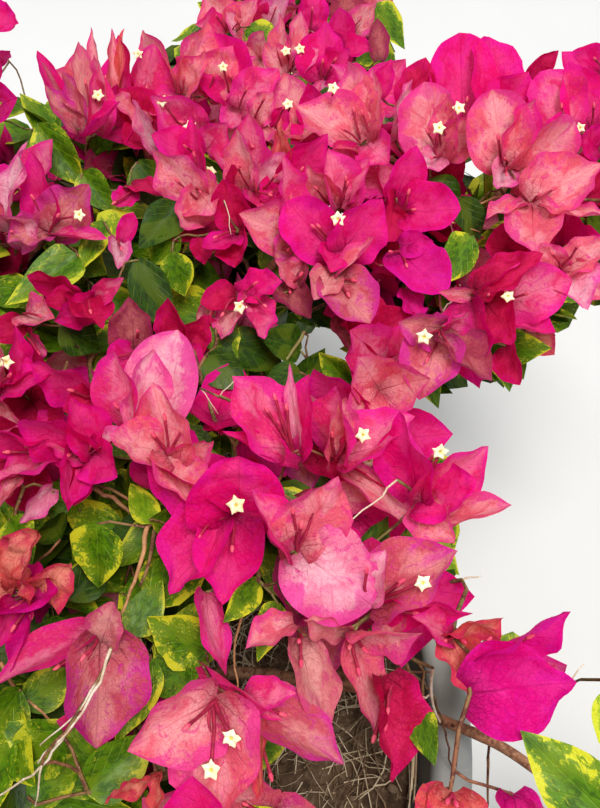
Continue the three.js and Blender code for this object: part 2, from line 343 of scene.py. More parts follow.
class Nodes:
    """A short way to write a node tree."""

    def __init__(self, name):
        self.material = bpy.data.materials.new(name)
        self.material.use_nodes = True
        self.tree = self.material.node_tree
        self.tree.nodes.clear()
        self.out = self.tree.nodes.new("ShaderNodeOutputMaterial")

    def new(self, kind, inputs=(), **settings):
        n = self.tree.nodes.new("ShaderNode" + kind)
        for k, v in settings.items():
            setattr(n, k, v)
        for k, v in dict(inputs).items():
            self.put(n.inputs[k], v)
        return n

    def put(self, socket, value):
        if isinstance(value, bpy.types.NodeSocket):
            self.tree.links.new(value, socket)
        elif value is not None:
            socket.default_value = value

    def math(self, operation, a, b=None, clamp=False):
        n = self.new("Math", operation=operation, use_clamp=clamp)
        self.put(n.inputs[0], a)
        if b is not None:
            self.put(n.inputs[1], b)
        return n.outputs[0]

    def mix(self, factor, a, b):
        n = self.new("Mix", data_type="RGBA")
        self.put(n.inputs[0], factor)
        self.put(n.inputs[6], a)
        self.put(n.inputs[7], b)
        return n.outputs[2]

    def noise(self, where, scale, detail=2.0, rough=0.5, w=None, warp=0.0):
        n = self.new("TexNoise", noise_dimensions="3D" if w is None else "4D")
        self.put(n.inputs["Vector"], where)
        n.inputs["Scale"].default_value = scale
        n.inputs["Detail"].default_value = detail
        n.inputs["Roughness"].default_value = rough
        n.inputs["Distortion"].default_value = warp
        if w is not None:
            n.inputs["W"].default_value = w
        return n.outputs["Fac"]

    def flat(self, where, scale, detail=2.0, rough=0.5, shift=0.0, warp=0.0):
        """Noise over the map; shift tells one from another."""
        if shift:
            where = self.new("VectorMath", {0: where, 1: (shift, -shift, 0.0)}, operation="ADD").outputs[0]
        n = self.new("TexNoise", noise_dimensions="2D")
        self.put(n.inputs["Vector"], where)
        n.inputs["Scale"].default_value = scale
        n.inputs["Detail"].default_value = detail
        n.inputs["Roughness"].default_value = rough
        n.inputs["Distortion"].default_value = warp
        return n.outputs["Fac"]

    def cells(self, where, scale, feature="DISTANCE_TO_EDGE", flat=False):
        n = self.new("TexVoronoi", feature=feature, voronoi_dimensions="2D" if flat else "3D")
        self.put(n.inputs["Vector"], where)
        n.inputs["Scale"].default_value = scale
        return n.outputs["Distance"]

    def between(self, value, low, high, a=0.0, b=1.0, smooth=True):
        n = self.new("MapRange", interpolation_type="SMOOTHSTEP" if smooth else "LINEAR")
        self.put(n.inputs["Value"], value)
        n.inputs["From Min"].default_value = low
        n.inputs["From Max"].default_value = high
        n.inputs["To Min"].default_value = a
        n.inputs["To Max"].default_value = b
        return n.outputs["Result"]

    def curve(self, value, points):
        n = self.new("FloatCurve")
        self.put(n.inputs["Value"], value)
        c = n.mapping.curves[0]
        c.points[0].location, c.points[1].location = points[0], points[-1]
        for p in points[1:-1]:
            c.points.new(*p)
        n.mapping.update()
        return n.outputs["Value"]

    def bump(self, height, strength, distance):
        n = self.new("Bump")
        self.put(n.inputs["Height"], height)
        n.inputs["Strength"].default_value = strength
        n.inputs["Distance"].default_value = distance
        return n.outputs["Normal"]

    def principled(self, colour, roughness, normal=None, **more):
        n = self.new("BsdfPrincipled")
        self.put(n.inputs["Base Color"], colour)
        self.put(n.inputs["Roughness"], roughness)
        if normal is not None:
            self.put(n.inputs["Normal"], normal)
        for k, v in more.items():
            self.put(n.inputs[k.replace("_", " ")], v)
        return n.outputs[0]

    def finish(self, shader):
        self.tree.links.new(shader, self.out.inputs["Surface"])
        return self.material


# The outline of a bract: its half width, as a share of the widest, along it.
BRACT_U = [0, 0.05, 0.12, 0.22, 0.34, 0.46, 0.58, 0.7, 0.8, 0.88, 0.94, 1.0]
BRACT_F = [0.42, 0.66, 0.85, 0.97, 1.0, 0.99, 0.95, 0.84, 0.65, 0.42, 0.2, 0.0]
ROUND_U = [0, 0.05, 0.12, 0.22, 0.34, 0.46, 0.58, 0.7, 0.8, 0.88, 0.94, 0.975, 1.0]
ROUND_F = [0.42, 0.66, 0.85, 0.96, 1.0, 1.0, 0.97, 0.89, 0.75, 0.56, 0.36, 0.2, 0.0]
LEAF_U = [0, 0.04, 0.12, 0.24, 0.36, 0.5, 0.64, 0.76, 0.86, 0.93, 0.97, 1.0]
LEAF_F = [0.1, 0.36, 0.74, 0.96, 1.0, 0.93, 0.77, 0.56, 0.34, 0.16, 0.07, 0.0]


def blade_places(n, outline):
    """Where a point of a blade is: its cell of the map, across and along it, and how near the edge."""
    uv = n.new("UVMap", uv_map="OFBake").outputs[0]
    big = n.new("VectorMath", {0: uv, 1: (4.0, 4.0, 1.0)}, operation="MULTIPLY").outputs[0]
    cell = n.new("VectorMath", {0: big}, operation="FRACTION").outputs[0]
    xyz = n.new("SeparateXYZ", {0: cell})
    x = n.math("ABSOLUTE", n.math("SUBTRACT", xyz.outputs[0], 0.5))
    y = n.between(xyz.outputs[1], 0.04, 0.96, smooth=False)
    half = n.curve(y, [(u, max(f, 0.04)) for u, f in zip(*outline)])
    near = n.math("DIVIDE", n.math("MULTIPLY", x, 1 / 0.46), half)
    return big, x, y, near


def bract_material(name, base, pale, dark, edge, edge_share, mottle, through=0.4):
    """Papery: a mottled ground, a net of veins, blotches, a tinted rim, and a throat tinted darker, partly its own
    pigment and partly painted shade.
    """
    n = Nodes(name)
    big, x, y, near = blade_places(n, (BRACT_U, BRACT_F))
    # broad patches that differ from cell to cell, washes within them and a speckle
    patch = n.flat(big, 1.5, 2, 0.5, shift=1.7)
    wash = n.flat(big, 4.4, 2, 0.6, shift=4.1, warp=0.5)
    blot = n.flat(big, 8.0, 3, 0.7, shift=9.2, warp=0.8)
    speck = n.flat(big, 24.0, 2, 0.68, shift=6.6)
    fine = n.flat(big, 62.0, 1, 0.6, shift=8.3)
    ground = n.math("ADD", n.math("MULTIPLY", patch, 0.5), n.math("MULTIPLY", wash, 0.5))
    ground = n.math("ADD", ground, n.between(near, 0.1, 1.0, 0.05, -0.06))
    colour = n.mix(
        n.math("MULTIPLY", n.between(ground, 0.41, 0.6), mottle), linear(*base), linear(*pale)
    )
    colour = n.mix(
        n.math("MULTIPLY", n.between(speck, 0.5, 0.68), 0.22 * mottle), colour, linear(*pale)
    )
    # dusky patches
    colour = n.mix(
        n.math("MULTIPLY", n.between(n.flat(big, 3.1, 2, 0.6, shift=12.4), 0.52, 0.68), 0.14),
        colour,
        linear(*dark),
    )
    # the rim and, unevenly, the outer third run into the ground as a wash does
    rim = n.math("ADD", near, n.between(wash, 0.3, 0.7, -0.34, 0.34, smooth=False))
    rim = n.math("ADD", rim, n.between(speck, 0.3, 0.7, -0.14, 0.14, smooth=False))
    rim = n.math("ADD", rim, n.between(patch, 0.35, 0.65, -0.3, 0.3))
    rim = n.between(rim, 0.96 - edge_share, 1.3 - 0.5 * edge_share)
    tip = n.math("ADD", y, n.between(wash, 0.3, 0.7, -0.3, 0.3, smooth=False))
    tip = n.between(tip, 0.66, 1.1)
    rim = n.math("MAXIMUM", rim, n.math("MULTIPLY", tip, 0.8))
    # blotches of the rim's colour lie scattered, closer together towards the rim
    spots = n.math("ADD", blot, n.between(near, 0.0, 1.1, -0.11, 0.1, smooth=False))
    spots = n.math("MULTIPLY", n.between(spots, 0.56, 0.64), 0.6 * mottle)
    rim = n.math("MAXIMUM", n.math("MULTIPLY", rim, 0.85), spots)
    colour = n.mix(rim, colour, linear(*edge))
    freckles = n.math("MULTIPLY", n.between(fine, 0.64, 0.7), n.between(blot, 0.42, 0.6))
    colour = n.mix(n.math("MULTIPLY", freckles, 0.6 * mottle), colour, linear(*edge))
    # side veins leave the midrib at a slant, and the net lies between them
    bowed = n.math("ADD", n.math("MULTIPLY", x, 0.85), n.between(wash, 0.3, 0.7, -0.035, 0.035))
    slant = n.math("SUBTRACT", y, bowed)
    wave = n.math("SINE", n.math("MULTIPLY", slant, 2 * math.pi * 6.5))
    side = n.between(n.math("MULTIPLY", wave, n.between(near, 0.02, 0.2)), 0.8, 1.0)
    side = n.math("MULTIPLY", side, n.between(near, 1.0, 0.55))
    side = n.math("MULTIPLY", side, n.between(speck, 0.35, 0.6, 0.35, 1.0))
    mid = n.between(x, 0.013, 0.004)
    warped = n.new("VectorMath", {0: big}, operation="ADD")
    drift = n.new("TexNoise", noise_dimensions="2D")
    n.put(drift.inputs["Vector"], big)
    drift.inputs["Scale"].default_value = 7.0
    small = n.new("VectorMath", {0: drift.outputs["Color"], 1: (0.05, 0.05, 0.0)}, operation="MULTIPLY")
    n.put(warped.inputs[1], small.outputs[0])
    net = n.between(n.cells(warped.outputs[0], 17.0, flat=True), 0.0, 0.07, 1.0, 0.0)
    mesh = n.between(n.cells(warped.outputs[0], 41.0, flat=True), 0.0, 0.1, 1.0, 0.0)
    veins = n.math("MAXIMUM", n.math("MAXIMUM", side, mid), n.math("MULTIPLY", net, 0.7))
    veins = n.math("MAXIMUM", veins, n.math("MULTIPLY", mesh, 0.35))
    colour = n.mix(n.math("MULTIPLY", veins, 0.3), colour, linear(*dark))
    colour = n.mix(
        n.math("MULTIPLY", n.between(fine, 0.52, 0.74), 0.14), colour, linear(*dark)
    )
    # the throat, near the tube, is tinted darker, partly its own pigment and partly painted shade, and the tint follows
    # the veins out
    reach = n.math("SUBTRACT", y, n.math("MULTIPLY", veins, 0.16))
    reach = n.math("ADD", reach, n.math("MULTIPLY", x, 0.35))
    throat_tint_and_shade = n.math("MULTIPLY", n.between(reach, 0.36, 0.0), 0.8)
    deep = tuple(int(0.78 * c) for c in dark)
    colour = n.mix(throat_tint_and_shade, colour, linear(*deep))
    relief = n.math("SUBTRACT", n.math("MULTIPLY", speck, 1.1), n.math("MULTIPLY", veins, 0.9))
    normal = n.bump(relief, 0.5, 0.001)
    face = n.principled(
        colour,
        n.between(fine, 0.3, 0.7, 0.42, 0.58),
        normal,
        Specular_IOR_Level=0.12,
    )
    back = n.new("BsdfTranslucent", {"Color": colour}).outputs[0]
    n.put(n.tree.nodes[-1].inputs["Normal"], normal)
    mixed = n.new("MixShader", {0: through, 1: face, 2: back}).outputs[0]
    return n.finish(mixed)


def leaf_material(name, green, dark, yellow, margin, through=0.2):
    """A waxy leaf with paler veins; margin is how far in its yellow rim reaches."""
    n = Nodes(name)
    big, x, y, near = blade_places(n, (LEAF_U, LEAF_F))
    patch = n.flat(big, 1.9, 2, 0.55, shift=2.9)
    speck = n.flat(big, 9.0, 4, 0.68, shift=6.1, warp=0.5)
    grain = n.flat(big, 24.0, 3, 0.65, shift=5.4, warp=0.3)
    fine = n.flat(big, 46.0, 2, 0.6, shift=3.3)
    colour = n.mix(n.between(speck, 0.4, 0.62), linear(*green), linear(*dark))
    olive = tuple(int(0.7 * g + 0.3 * p) for g, p in zip(green, (168, 160, 40)))
    colour = n.mix(n.math("MULTIPLY", n.between(patch, 0.48, 0.6), 0.6), colour, linear(*olive))
    slant = n.math("SUBTRACT", y, n.math("MULTIPLY", x, 0.95))
    wave = n.math("SINE", n.math("MULTIPLY", slant, 2 * math.pi * 5.5))
    side = n.between(n.math("MULTIPLY", wave, n.between(near, 0.04, 0.25)), 0.8, 1.0)
    side = n.math("MULTIPLY", side, n.between(near, 0.98, 0.7))
    mid = n.between(x, 0.016, 0.004)
    veins = n.math("MAXIMUM", side, mid)
    pale = tuple(int(0.7 * g + 0.3 * p) for g, p in zip(green, (196, 206, 110)))
    colour = n.mix(n.math("MULTIPLY", veins, 0.3), colour, linear(*pale))
    if margin:
        signed = n.math("SUBTRACT", patch, 0.5)
        zone = n.math("ADD", near, n.between(speck, 0.3, 0.7, -0.28, 0.28, smooth=False))
        zone = n.math("ADD", zone, n.between(grain, 0.3, 0.7, -0.1, 0.1, smooth=False))
        zone = n.math("ADD", zone, n.math("MULTIPLY", signed, 2.4))
        # between the green and the yellow lies a paler green
        between = tuple(int(0.62 * g + 0.38 * p) for g, p in zip(green, (186, 190, 84)))
        colour = n.mix(n.math("MULTIPLY", n.between(zone, 0.78 - margin, 0.9 - margin), 0.7), colour, linear(*between))
        creamy = tuple(int(0.6 * g + 0.4 * p) for g, p in zip(yellow, (226, 220, 96)))
        tint = n.mix(n.between(fine, 0.4, 0.65), linear(*yellow), linear(*creamy))
        colour = n.mix(n.between(zone, 1.04 - margin, 1.12 - margin), colour, tint)
        dots = n.math("MULTIPLY", n.between(grain, 0.58, 0.63), n.between(zone, 0.4 - margin, 0.9 - margin))
        colour = n.mix(n.math("MULTIPLY", dots, 0.6), colour, tint)
    relief = n.math("SUBTRACT", n.math("MULTIPLY", fine, 0.3), veins)
    normal = n.bump(relief, 0.4, 0.0007)
    face = n.principled(
        colour,
        n.between(speck, 0.3, 0.7, 0.34, 0.5),
        normal,
        Specular_IOR_Level=0.19,
    )
    back = n.new("BsdfTranslucent", {"Color": colour}).outputs[0]
    mixed = n.new("MixShader", {0: through, 1: face, 2: back}).outputs[0]
    return n.finish(mixed)


def speckled(name, a, b, c, scale, roughness=(0.5, 0.8), bump=(0.3, 0.001), specular=0.3):
    """A rough ground of three colours, by place on the piece."""
    n = Nodes(name)
    at = n.new("TexCoord").outputs["Object"]
    broad = n.noise(at, scale, 3, 0.55)
    fine = n.noise(at, scale * 9, 4, 0.65, w=3.0)
    colour = n.mix(n.between(broad, 0.36, 0.64), linear(*a), linear(*b))
    colour = n.mix(n.between(fine, 0.5, 0.7), colour, linear(*c))
    normal = n.bump(fine, bump[0], bump[1])
    return n.finish(
        n.principled(
            colour,
            n.between(fine, 0.3, 0.7, *roughness),
            normal,
            Specular_IOR_Level=specular,
        )
    )


def bark_material(name, wood, pale, dark, green):
    """Furrowed bark: long streaks, pale pores and broad patches of a second tone."""
    n = Nodes(name)
    at = n.new("TexCoord").outputs["Object"]
    streak = n.noise(at, 160.0, 4, 0.65, warp=0.8)
    broad = n.noise(at, 24.0, 3, 0.55, w=2.0)
    pore = n.between(n.cells(at, 420.0, "F1"), 0.0, 0.34, 1.0, 0.0)
    colour = n.mix(n.between(broad, 0.36, 0.64), linear(*wood), linear(*green))
    colour = n.mix(n.between(streak, 0.42, 0.62), colour, linear(*dark))
    colour = n.mix(n.math("MULTIPLY", pore, 0.55), colour, linear(*pale))
    height = n.math("ADD", n.math("MULTIPLY", streak, -1.0), n.math("MULTIPLY", pore, 0.3))
    normal = n.bump(height, 0.6, 0.0012)
    return n.finish(
        n.principled(
            colour, n.between(streak, 0.3, 0.7, 0.6, 0.85), normal, Specular_IOR_Level=0.25
        )
    )


def pot_material():
    """Grey moulded plastic, chalky with age: streaks down its side, scuffs on the lip and grime at the foot."""
    n = Nodes("pot_plastic")
    at = n.new("TexCoord").outputs["Object"]
    xyz = n.new("SeparateXYZ", {0: at})
    broad = n.noise(at, 9.0, 4, 0.6)
    fine = n.noise(at, 260.0, 3, 0.7, w=1.0)
    stretched = n.new("VectorMath", {0: at, 1: (38.0, 38.0, 3.0)}, operation="MULTIPLY")
    streak = n.noise(stretched.outputs[0], 1.0, 4, 0.6, w=5.0)
    colour = n.mix(n.between(broad, 0.35, 0.65), linear(128, 134, 134), linear(150, 152, 148))
    colour = n.mix(
        n.math("MULTIPLY", n.between(streak, 0.5, 0.75), 0.5), colour, linear(104, 106, 100)
    )
    colour = n.mix(
        n.math("MULTIPLY", n.between(fine, 0.55, 0.75), 0.5), colour, linear(176, 176, 168)
    )
    foot = n.math("ADD", xyz.outputs[2], n.between(broad, 0.3, 0.7, -0.05, 0.05))
    colour = n.mix(
        n.math("MULTIPLY", n.between(foot, 0.13, 0.0), 0.65), colour, linear(96, 88, 74)
    )
    lip = n.math("MULTIPLY", n.between(xyz.outputs[2], 0.385, 0.4), n.between(broad, 0.4, 0.6))
    colour = n.mix(n.math("MULTIPLY", lip, 0.5), colour, linear(176, 174, 164))
    height = n.math("ADD", n.math("MULTIPLY", fine, 0.5), n.math("MULTIPLY", streak, 0.5))
    return n.finish(
        n.principled(
            colour,
            n.between(fine, 0.3, 0.7, 0.46, 0.7),
            n.bump(height, 0.18, 0.0008),
            Specular_IOR_Level=0.4,
        )
    )


def soil_material():
    n = Nodes("soil_ground")
    at = n.new("TexCoord").outputs["Object"]
    broad = n.noise(at, 26.0, 4, 0.6)
    grain = n.noise(at, 240.0, 4, 0.7, w=2.0)
    crumbs = n.cells(at, 130.0, "F1")
    colour = n.mix(n.between(broad, 0.35, 0.62), linear(82, 62, 47), linear(108, 86, 66))
    colour = n.mix(n.between(grain, 0.5, 0.7), colour, linear(142, 120, 96))
    colour = n.mix(n.between(crumbs, 0.5, 0.2, 0.0, 0.5), colour, linear(46, 35, 28))
    height = n.math("ADD", grain, n.math("MULTIPLY", crumbs, -0.9))
    return n.finish(
        n.principled(
            colour,
            n.between(grain, 0.3, 0.7, 0.8, 0.96),
            n.bump(height, 0.8, 0.003),
            Specular_IOR_Level=0.15,
        )
    )


# Bract families: plain base colours dealt out by spray.
#   ground, paler patches, darker veins, rim, how far in the rim reaches, mottling
FAMILIES = {
    "magenta": [(232, 6, 112), (246, 62, 142), (182, 0, 80), (238, 12, 150), 0.32, 0.8],
    "violet": [(226, 4, 128), (242, 46, 152), (176, 0, 94), (230, 18, 160), 0.34, 0.8],
    "hot": [(238, 46, 120), (252, 134, 168), (200, 8, 84), (240, 18, 152), 0.5, 0.95],
    "salmon": [(242, 104, 126), (254, 172, 176), (204, 36, 78), (234, 36, 146), 0.36, 1.0],
    "pink": [(250, 138, 174), (255, 200, 212), (224, 74, 128), (236, 50, 160), 0.46, 0.9],
    "dusty": [(226, 124, 130), (246, 174, 168), (172, 58, 80), (222, 52, 132), 0.26, 0.9],
    # rose: a darker dusky rose, partly a tone of its own and partly painted shade for bracts that lie in shade
    "rose": [(212, 84, 104), (238, 148, 148), (150, 22, 64), (218, 26, 156), 0.5, 1.0],
    "coral": [(230, 90, 88), (250, 156, 136), (174, 28, 48), (224, 28, 96), 0.34, 0.95],
    "crimson": [(198, 4, 70), (228, 40, 98), (124, 0, 38), (222, 8, 110), 0.34, 0.75],
    # dull: a dusky rose darkened for bracts that lie in shade, painted shade
    "dull": [(172, 62, 84), (206, 110, 112), (108, 20, 46), (162, 26, 92), 0.36, 0.95],
}
SHORT = dict(M="magenta", V="violet", H="hot", S="salmon", P="pink", T="dusty", Q="rose", C="coral", R="crimson", D="dull")
BRACT_MATERIALS = {k: bract_material("bract_" + k, *v) for k, v in FAMILIES.items()}
LEAF_KINDS = {
    "variegated": [(82, 122, 10), (52, 86, 6), (186, 188, 24), 0.12],
    "yellowed": [(112, 146, 18), (82, 122, 14), (184, 190, 30), 0.3],
    "green": [(80, 118, 10), (52, 88, 8), (170, 176, 30), 0.02],
    "dark": [(46, 76, 6), (30, 54, 6), (100, 122, 30), 0.0],
}
LEAF_MATERIALS = {k: leaf_material("leaf_" + k, *v) for k, v in LEAF_KINDS.items()}


# ----------------------------------------------------------------- blades ---
def smooth_outline(outline):
    """The outline without corners, as two arrays."""
    u = np.linspace(0, 1, 241)
    f = np.interp(u, *outline)
    for _ in range(40):
        f[1:-1] = (f[:-2] + 2 * f[1:-1] + f[2:]) / 4
    return u, f


def blade_grid(rows, cols, outline):
    """Rows of points from the base, spaced closer at its ends, and one point at the tip."""
    t = np.linspace(0, 1, rows + 1)[:-1]
    u = t + 0.045 * np.sin(2 * math.pi * t) * -1
    u = np.clip(u * 0.985, 0, 1)
    f = np.interp(u, *smooth_outline(outline))
    v = np.linspace(-1, 1, cols + 1)
    return u, f, v


def blades(places, along, face, length, width, rows, cols, outline, seed, tune):
    """Vertices, faces and map of many blades at once.

    places, along and face are (n, 3); length and width (n,). tune holds spans of
    fold, cup, bend, twist, wave, pucker and how far the base is notched."""
    r = np.random.default_rng(seed)
    n = len(places)
    u, f, v = blade_grid(rows, cols, outline)

    def some(key):
        low, high = tune[key]
        return (low + (high - low) * r.random(n))[:, None, None]

    fold, cup, bend, twist = some("fold"), some("cup"), some("bend"), some("twist")
    wave, pucker, notch = some("wave"), some("pucker"), some("notch")
    crumple = some("crumple")[:, :, 0]
    U = np.concatenate([np.repeat(u, cols + 1), [1.0]])[None, :]
    V = np.concatenate([np.tile(v, rows), [0.0]])[None, :]
    Fh = np.concatenate([np.repeat(f, cols + 1), [0.0]])[None, :]
    fold, cup, bend, twist, wave, pucker, notch = (
        a[:, :, 0] for a in (fold, cup, bend, twist, wave, pucker, notch)
    )
    L, W = length[:, None], width[:, None]
    aV = np.abs(V)
    # no two have quite the same outline: fuller or slimmer towards the tip,
    # with a nick or a bulge here and there along either side
    power = np.exp(r.normal(0, 0.1, (n, 1)))
    own = np.interp(U**power, *smooth_outline(outline))
    own[:, -1] = 0
    for _ in range(3):
        where, wide = r.uniform(0.15, 0.9, (n, 1)), r.uniform(0.05, 0.12, (n, 1))
        which = np.where(r.random((n, 1)) < 0.5, -1, 1)
        nick = 0.05 * r.normal(0, 1, (n, 1)) * np.exp(-(((U - where) / wide) ** 2))
        own = own * (1 + nick * (np.sign(V) == which))
    drawn = tune["drawn"] * r.random((n, 1)) ** 1.5
    own = own * (1 - drawn * np.exp(-(((U - 0.84) / 0.13) ** 2)))
    lopsided = 1 + 0.1 * (r.random((n, 1)) - 0.5) * np.sign(V)
    x = V * own * W / 2 * lopsided
    back = notch * (1 - U) ** 3 * aV**1.5
    y = L * (U - back)
    phase = 2 * math.pi * r.random((n, 1))
    turns = 1.3 + 1.6 * r.random((n, 1))
    z = fold * np.abs(x) + cup * W * (aV * Fh) ** 2
    z = z + wave * W * aV**2.4 * Fh * np.sin(2 * math.pi * turns * U + phase + (V > 0) * 2.1)
    z = z + pucker * W * np.sin(2 * math.pi * (6.5 * (U - 0.36 * aV * Fh))) * aV * (1.15 - aV)
    # a slow ripple over the whole blade
    z = z + 0.02 * W * np.sin(2 * math.pi * (0.9 * V * Fh + U * 0.7) + 2 * phase)
    # papery crumples: slow waves that cross it at their own slant
    for _ in range(5):
        kx, ky = r.normal(0, 1.5, (n, 1)), r.normal(0, 1.9, (n, 1))
        high = crumple * W * r.uniform(0.35, 1.0, (n, 1))
        z = z + high * np.sin(2 * math.pi * (kx * V * Fh * 0.5 + ky * U) + 6.28 * r.random((n, 1)))
    s = twist * U**1.3
    x, z = x * np.cos(s) - z * np.sin(s), x * np.sin(s) + z * np.cos(s)
    hook = bend * 1.0
    a = hook * (y / L)
    k = np.where(np.abs(hook) < 1e-3, 1e-3, hook) / L
    y, z = np.sin(a) / k - z * np.sin(a), (1 - np.cos(a)) / k + z * np.cos(a)
    # the tip curls a little its own way
    curl = (r.random((n, 1)) - 0.35) * 0.5
    z = z + curl * L * np.clip(U - 0.72, 0, 1) ** 2 * 1.6
    M = frames_of(np.array(along, float), np.array(face, float))
    local = np.stack([x, y, z], axis=-1)
    verts = np.einsum("nij,nkj->nki", M, local) + np.asarray(places)[:, None, :]
    each = rows * (cols + 1) + 1
    quads, tris = [], []
    for i in range(rows - 1):
        for j in range(cols):
            p = i * (cols + 1) + j
            quads.append([p, p + 1, p + cols + 2, p + cols + 1])
    last = (rows - 1) * (cols + 1)
    for j in range(cols):
        tris.append([last + j, last + j + 1, each - 1])
    quads, tris = np.array(quads), np.array(tris)
    cell = r.integers(0, 16, n)
    cu, cv = (cell % 4)[:, None], (cell // 4)[:, None]
    flip = np.where(r.random((n, 1)) < 0.5, -1, 1)
    mu = (cu + 0.5 + 0.46 * flip * V * Fh * 0.995) / 4
    along_map = (U - 0.09 * (1 - U) ** 3 * aV**1.5 + 0.09) / 1.09
    mv = (cv + 0.04 + 0.92 * along_map) / 4
    uv = np.stack([np.broadcast_to(mu, U.shape[:0] + (n, each)), np.broadcast_to(mv, (n, each))], -1)
    base = (np.arange(n) * each)[:, None, None]
    fq = (quads[None] + base).reshape(-1, 4)
    ft = (tris[None] + base).reshape(-1, 3)
    uq = uv[:, quads].reshape(-1, 4, 2)
    ut = uv[:, tris].reshape(-1, 3, 2)
    return verts.reshape(-1, 3), [fq, ft], [uq, ut]


BRACT_TUNE = dict(
    fold=(0.05, 0.3),
    cup=(0.02, 0.16),
    bend=(-0.25, 0.75),
    twist=(-0.3, 0.3),
    wave=(0.02, 0.075),
    pucker=(0.006, 0.014),
    notch=(0.05, 0.1),
    crumple=(0.008, 0.02),
    drawn=0.55,
)
HERO_TUNE = dict(
    BRACT_TUNE, fold=(0.08, 0.42), cup=(0.04, 0.2), bend=(-0.15, 0.5), twist=(-0.18, 0.18), wave=(0.04, 0.1),
    crumple=(0.013, 0.03),
)
ROUND_TUNE = dict(HERO_TUNE, bend=(-0.22, 0.06), drawn=0.0)
DRY_TUNE = dict(HERO_TUNE, wave=(0.07, 0.13), crumple=(0.04, 0.075), fold=(0.1, 0.5))
LEAF_TUNE = dict(
    fold=(0.08, 0.34),
    cup=(-0.04, 0.08),
    bend=(-0.8, 0.15),
    twist=(-0.35, 0.35),
    wave=(0.01, 0.04),
    pucker=(0.004, 0.012),
    notch=(0.0, 0.04),
    crumple=(0.003, 0.01),
    drawn=0.2,
)


PLACED_TUNE = dict(LEAF_TUNE, bend=(-0.35, 0.12), twist=(-0.2, 0.2))


class Blades:
    """Bracts or leaves of one colour, gathered up to be one piece."""

    def __init__(self):
        self.rows = []

    def add(self, place, along, face, length, width):
        self.rows.append((place, along, face, length, width))

    def arrays(self):
        cols = list(zip(*self.rows))
        return [np.array(c, float) for c in cols]


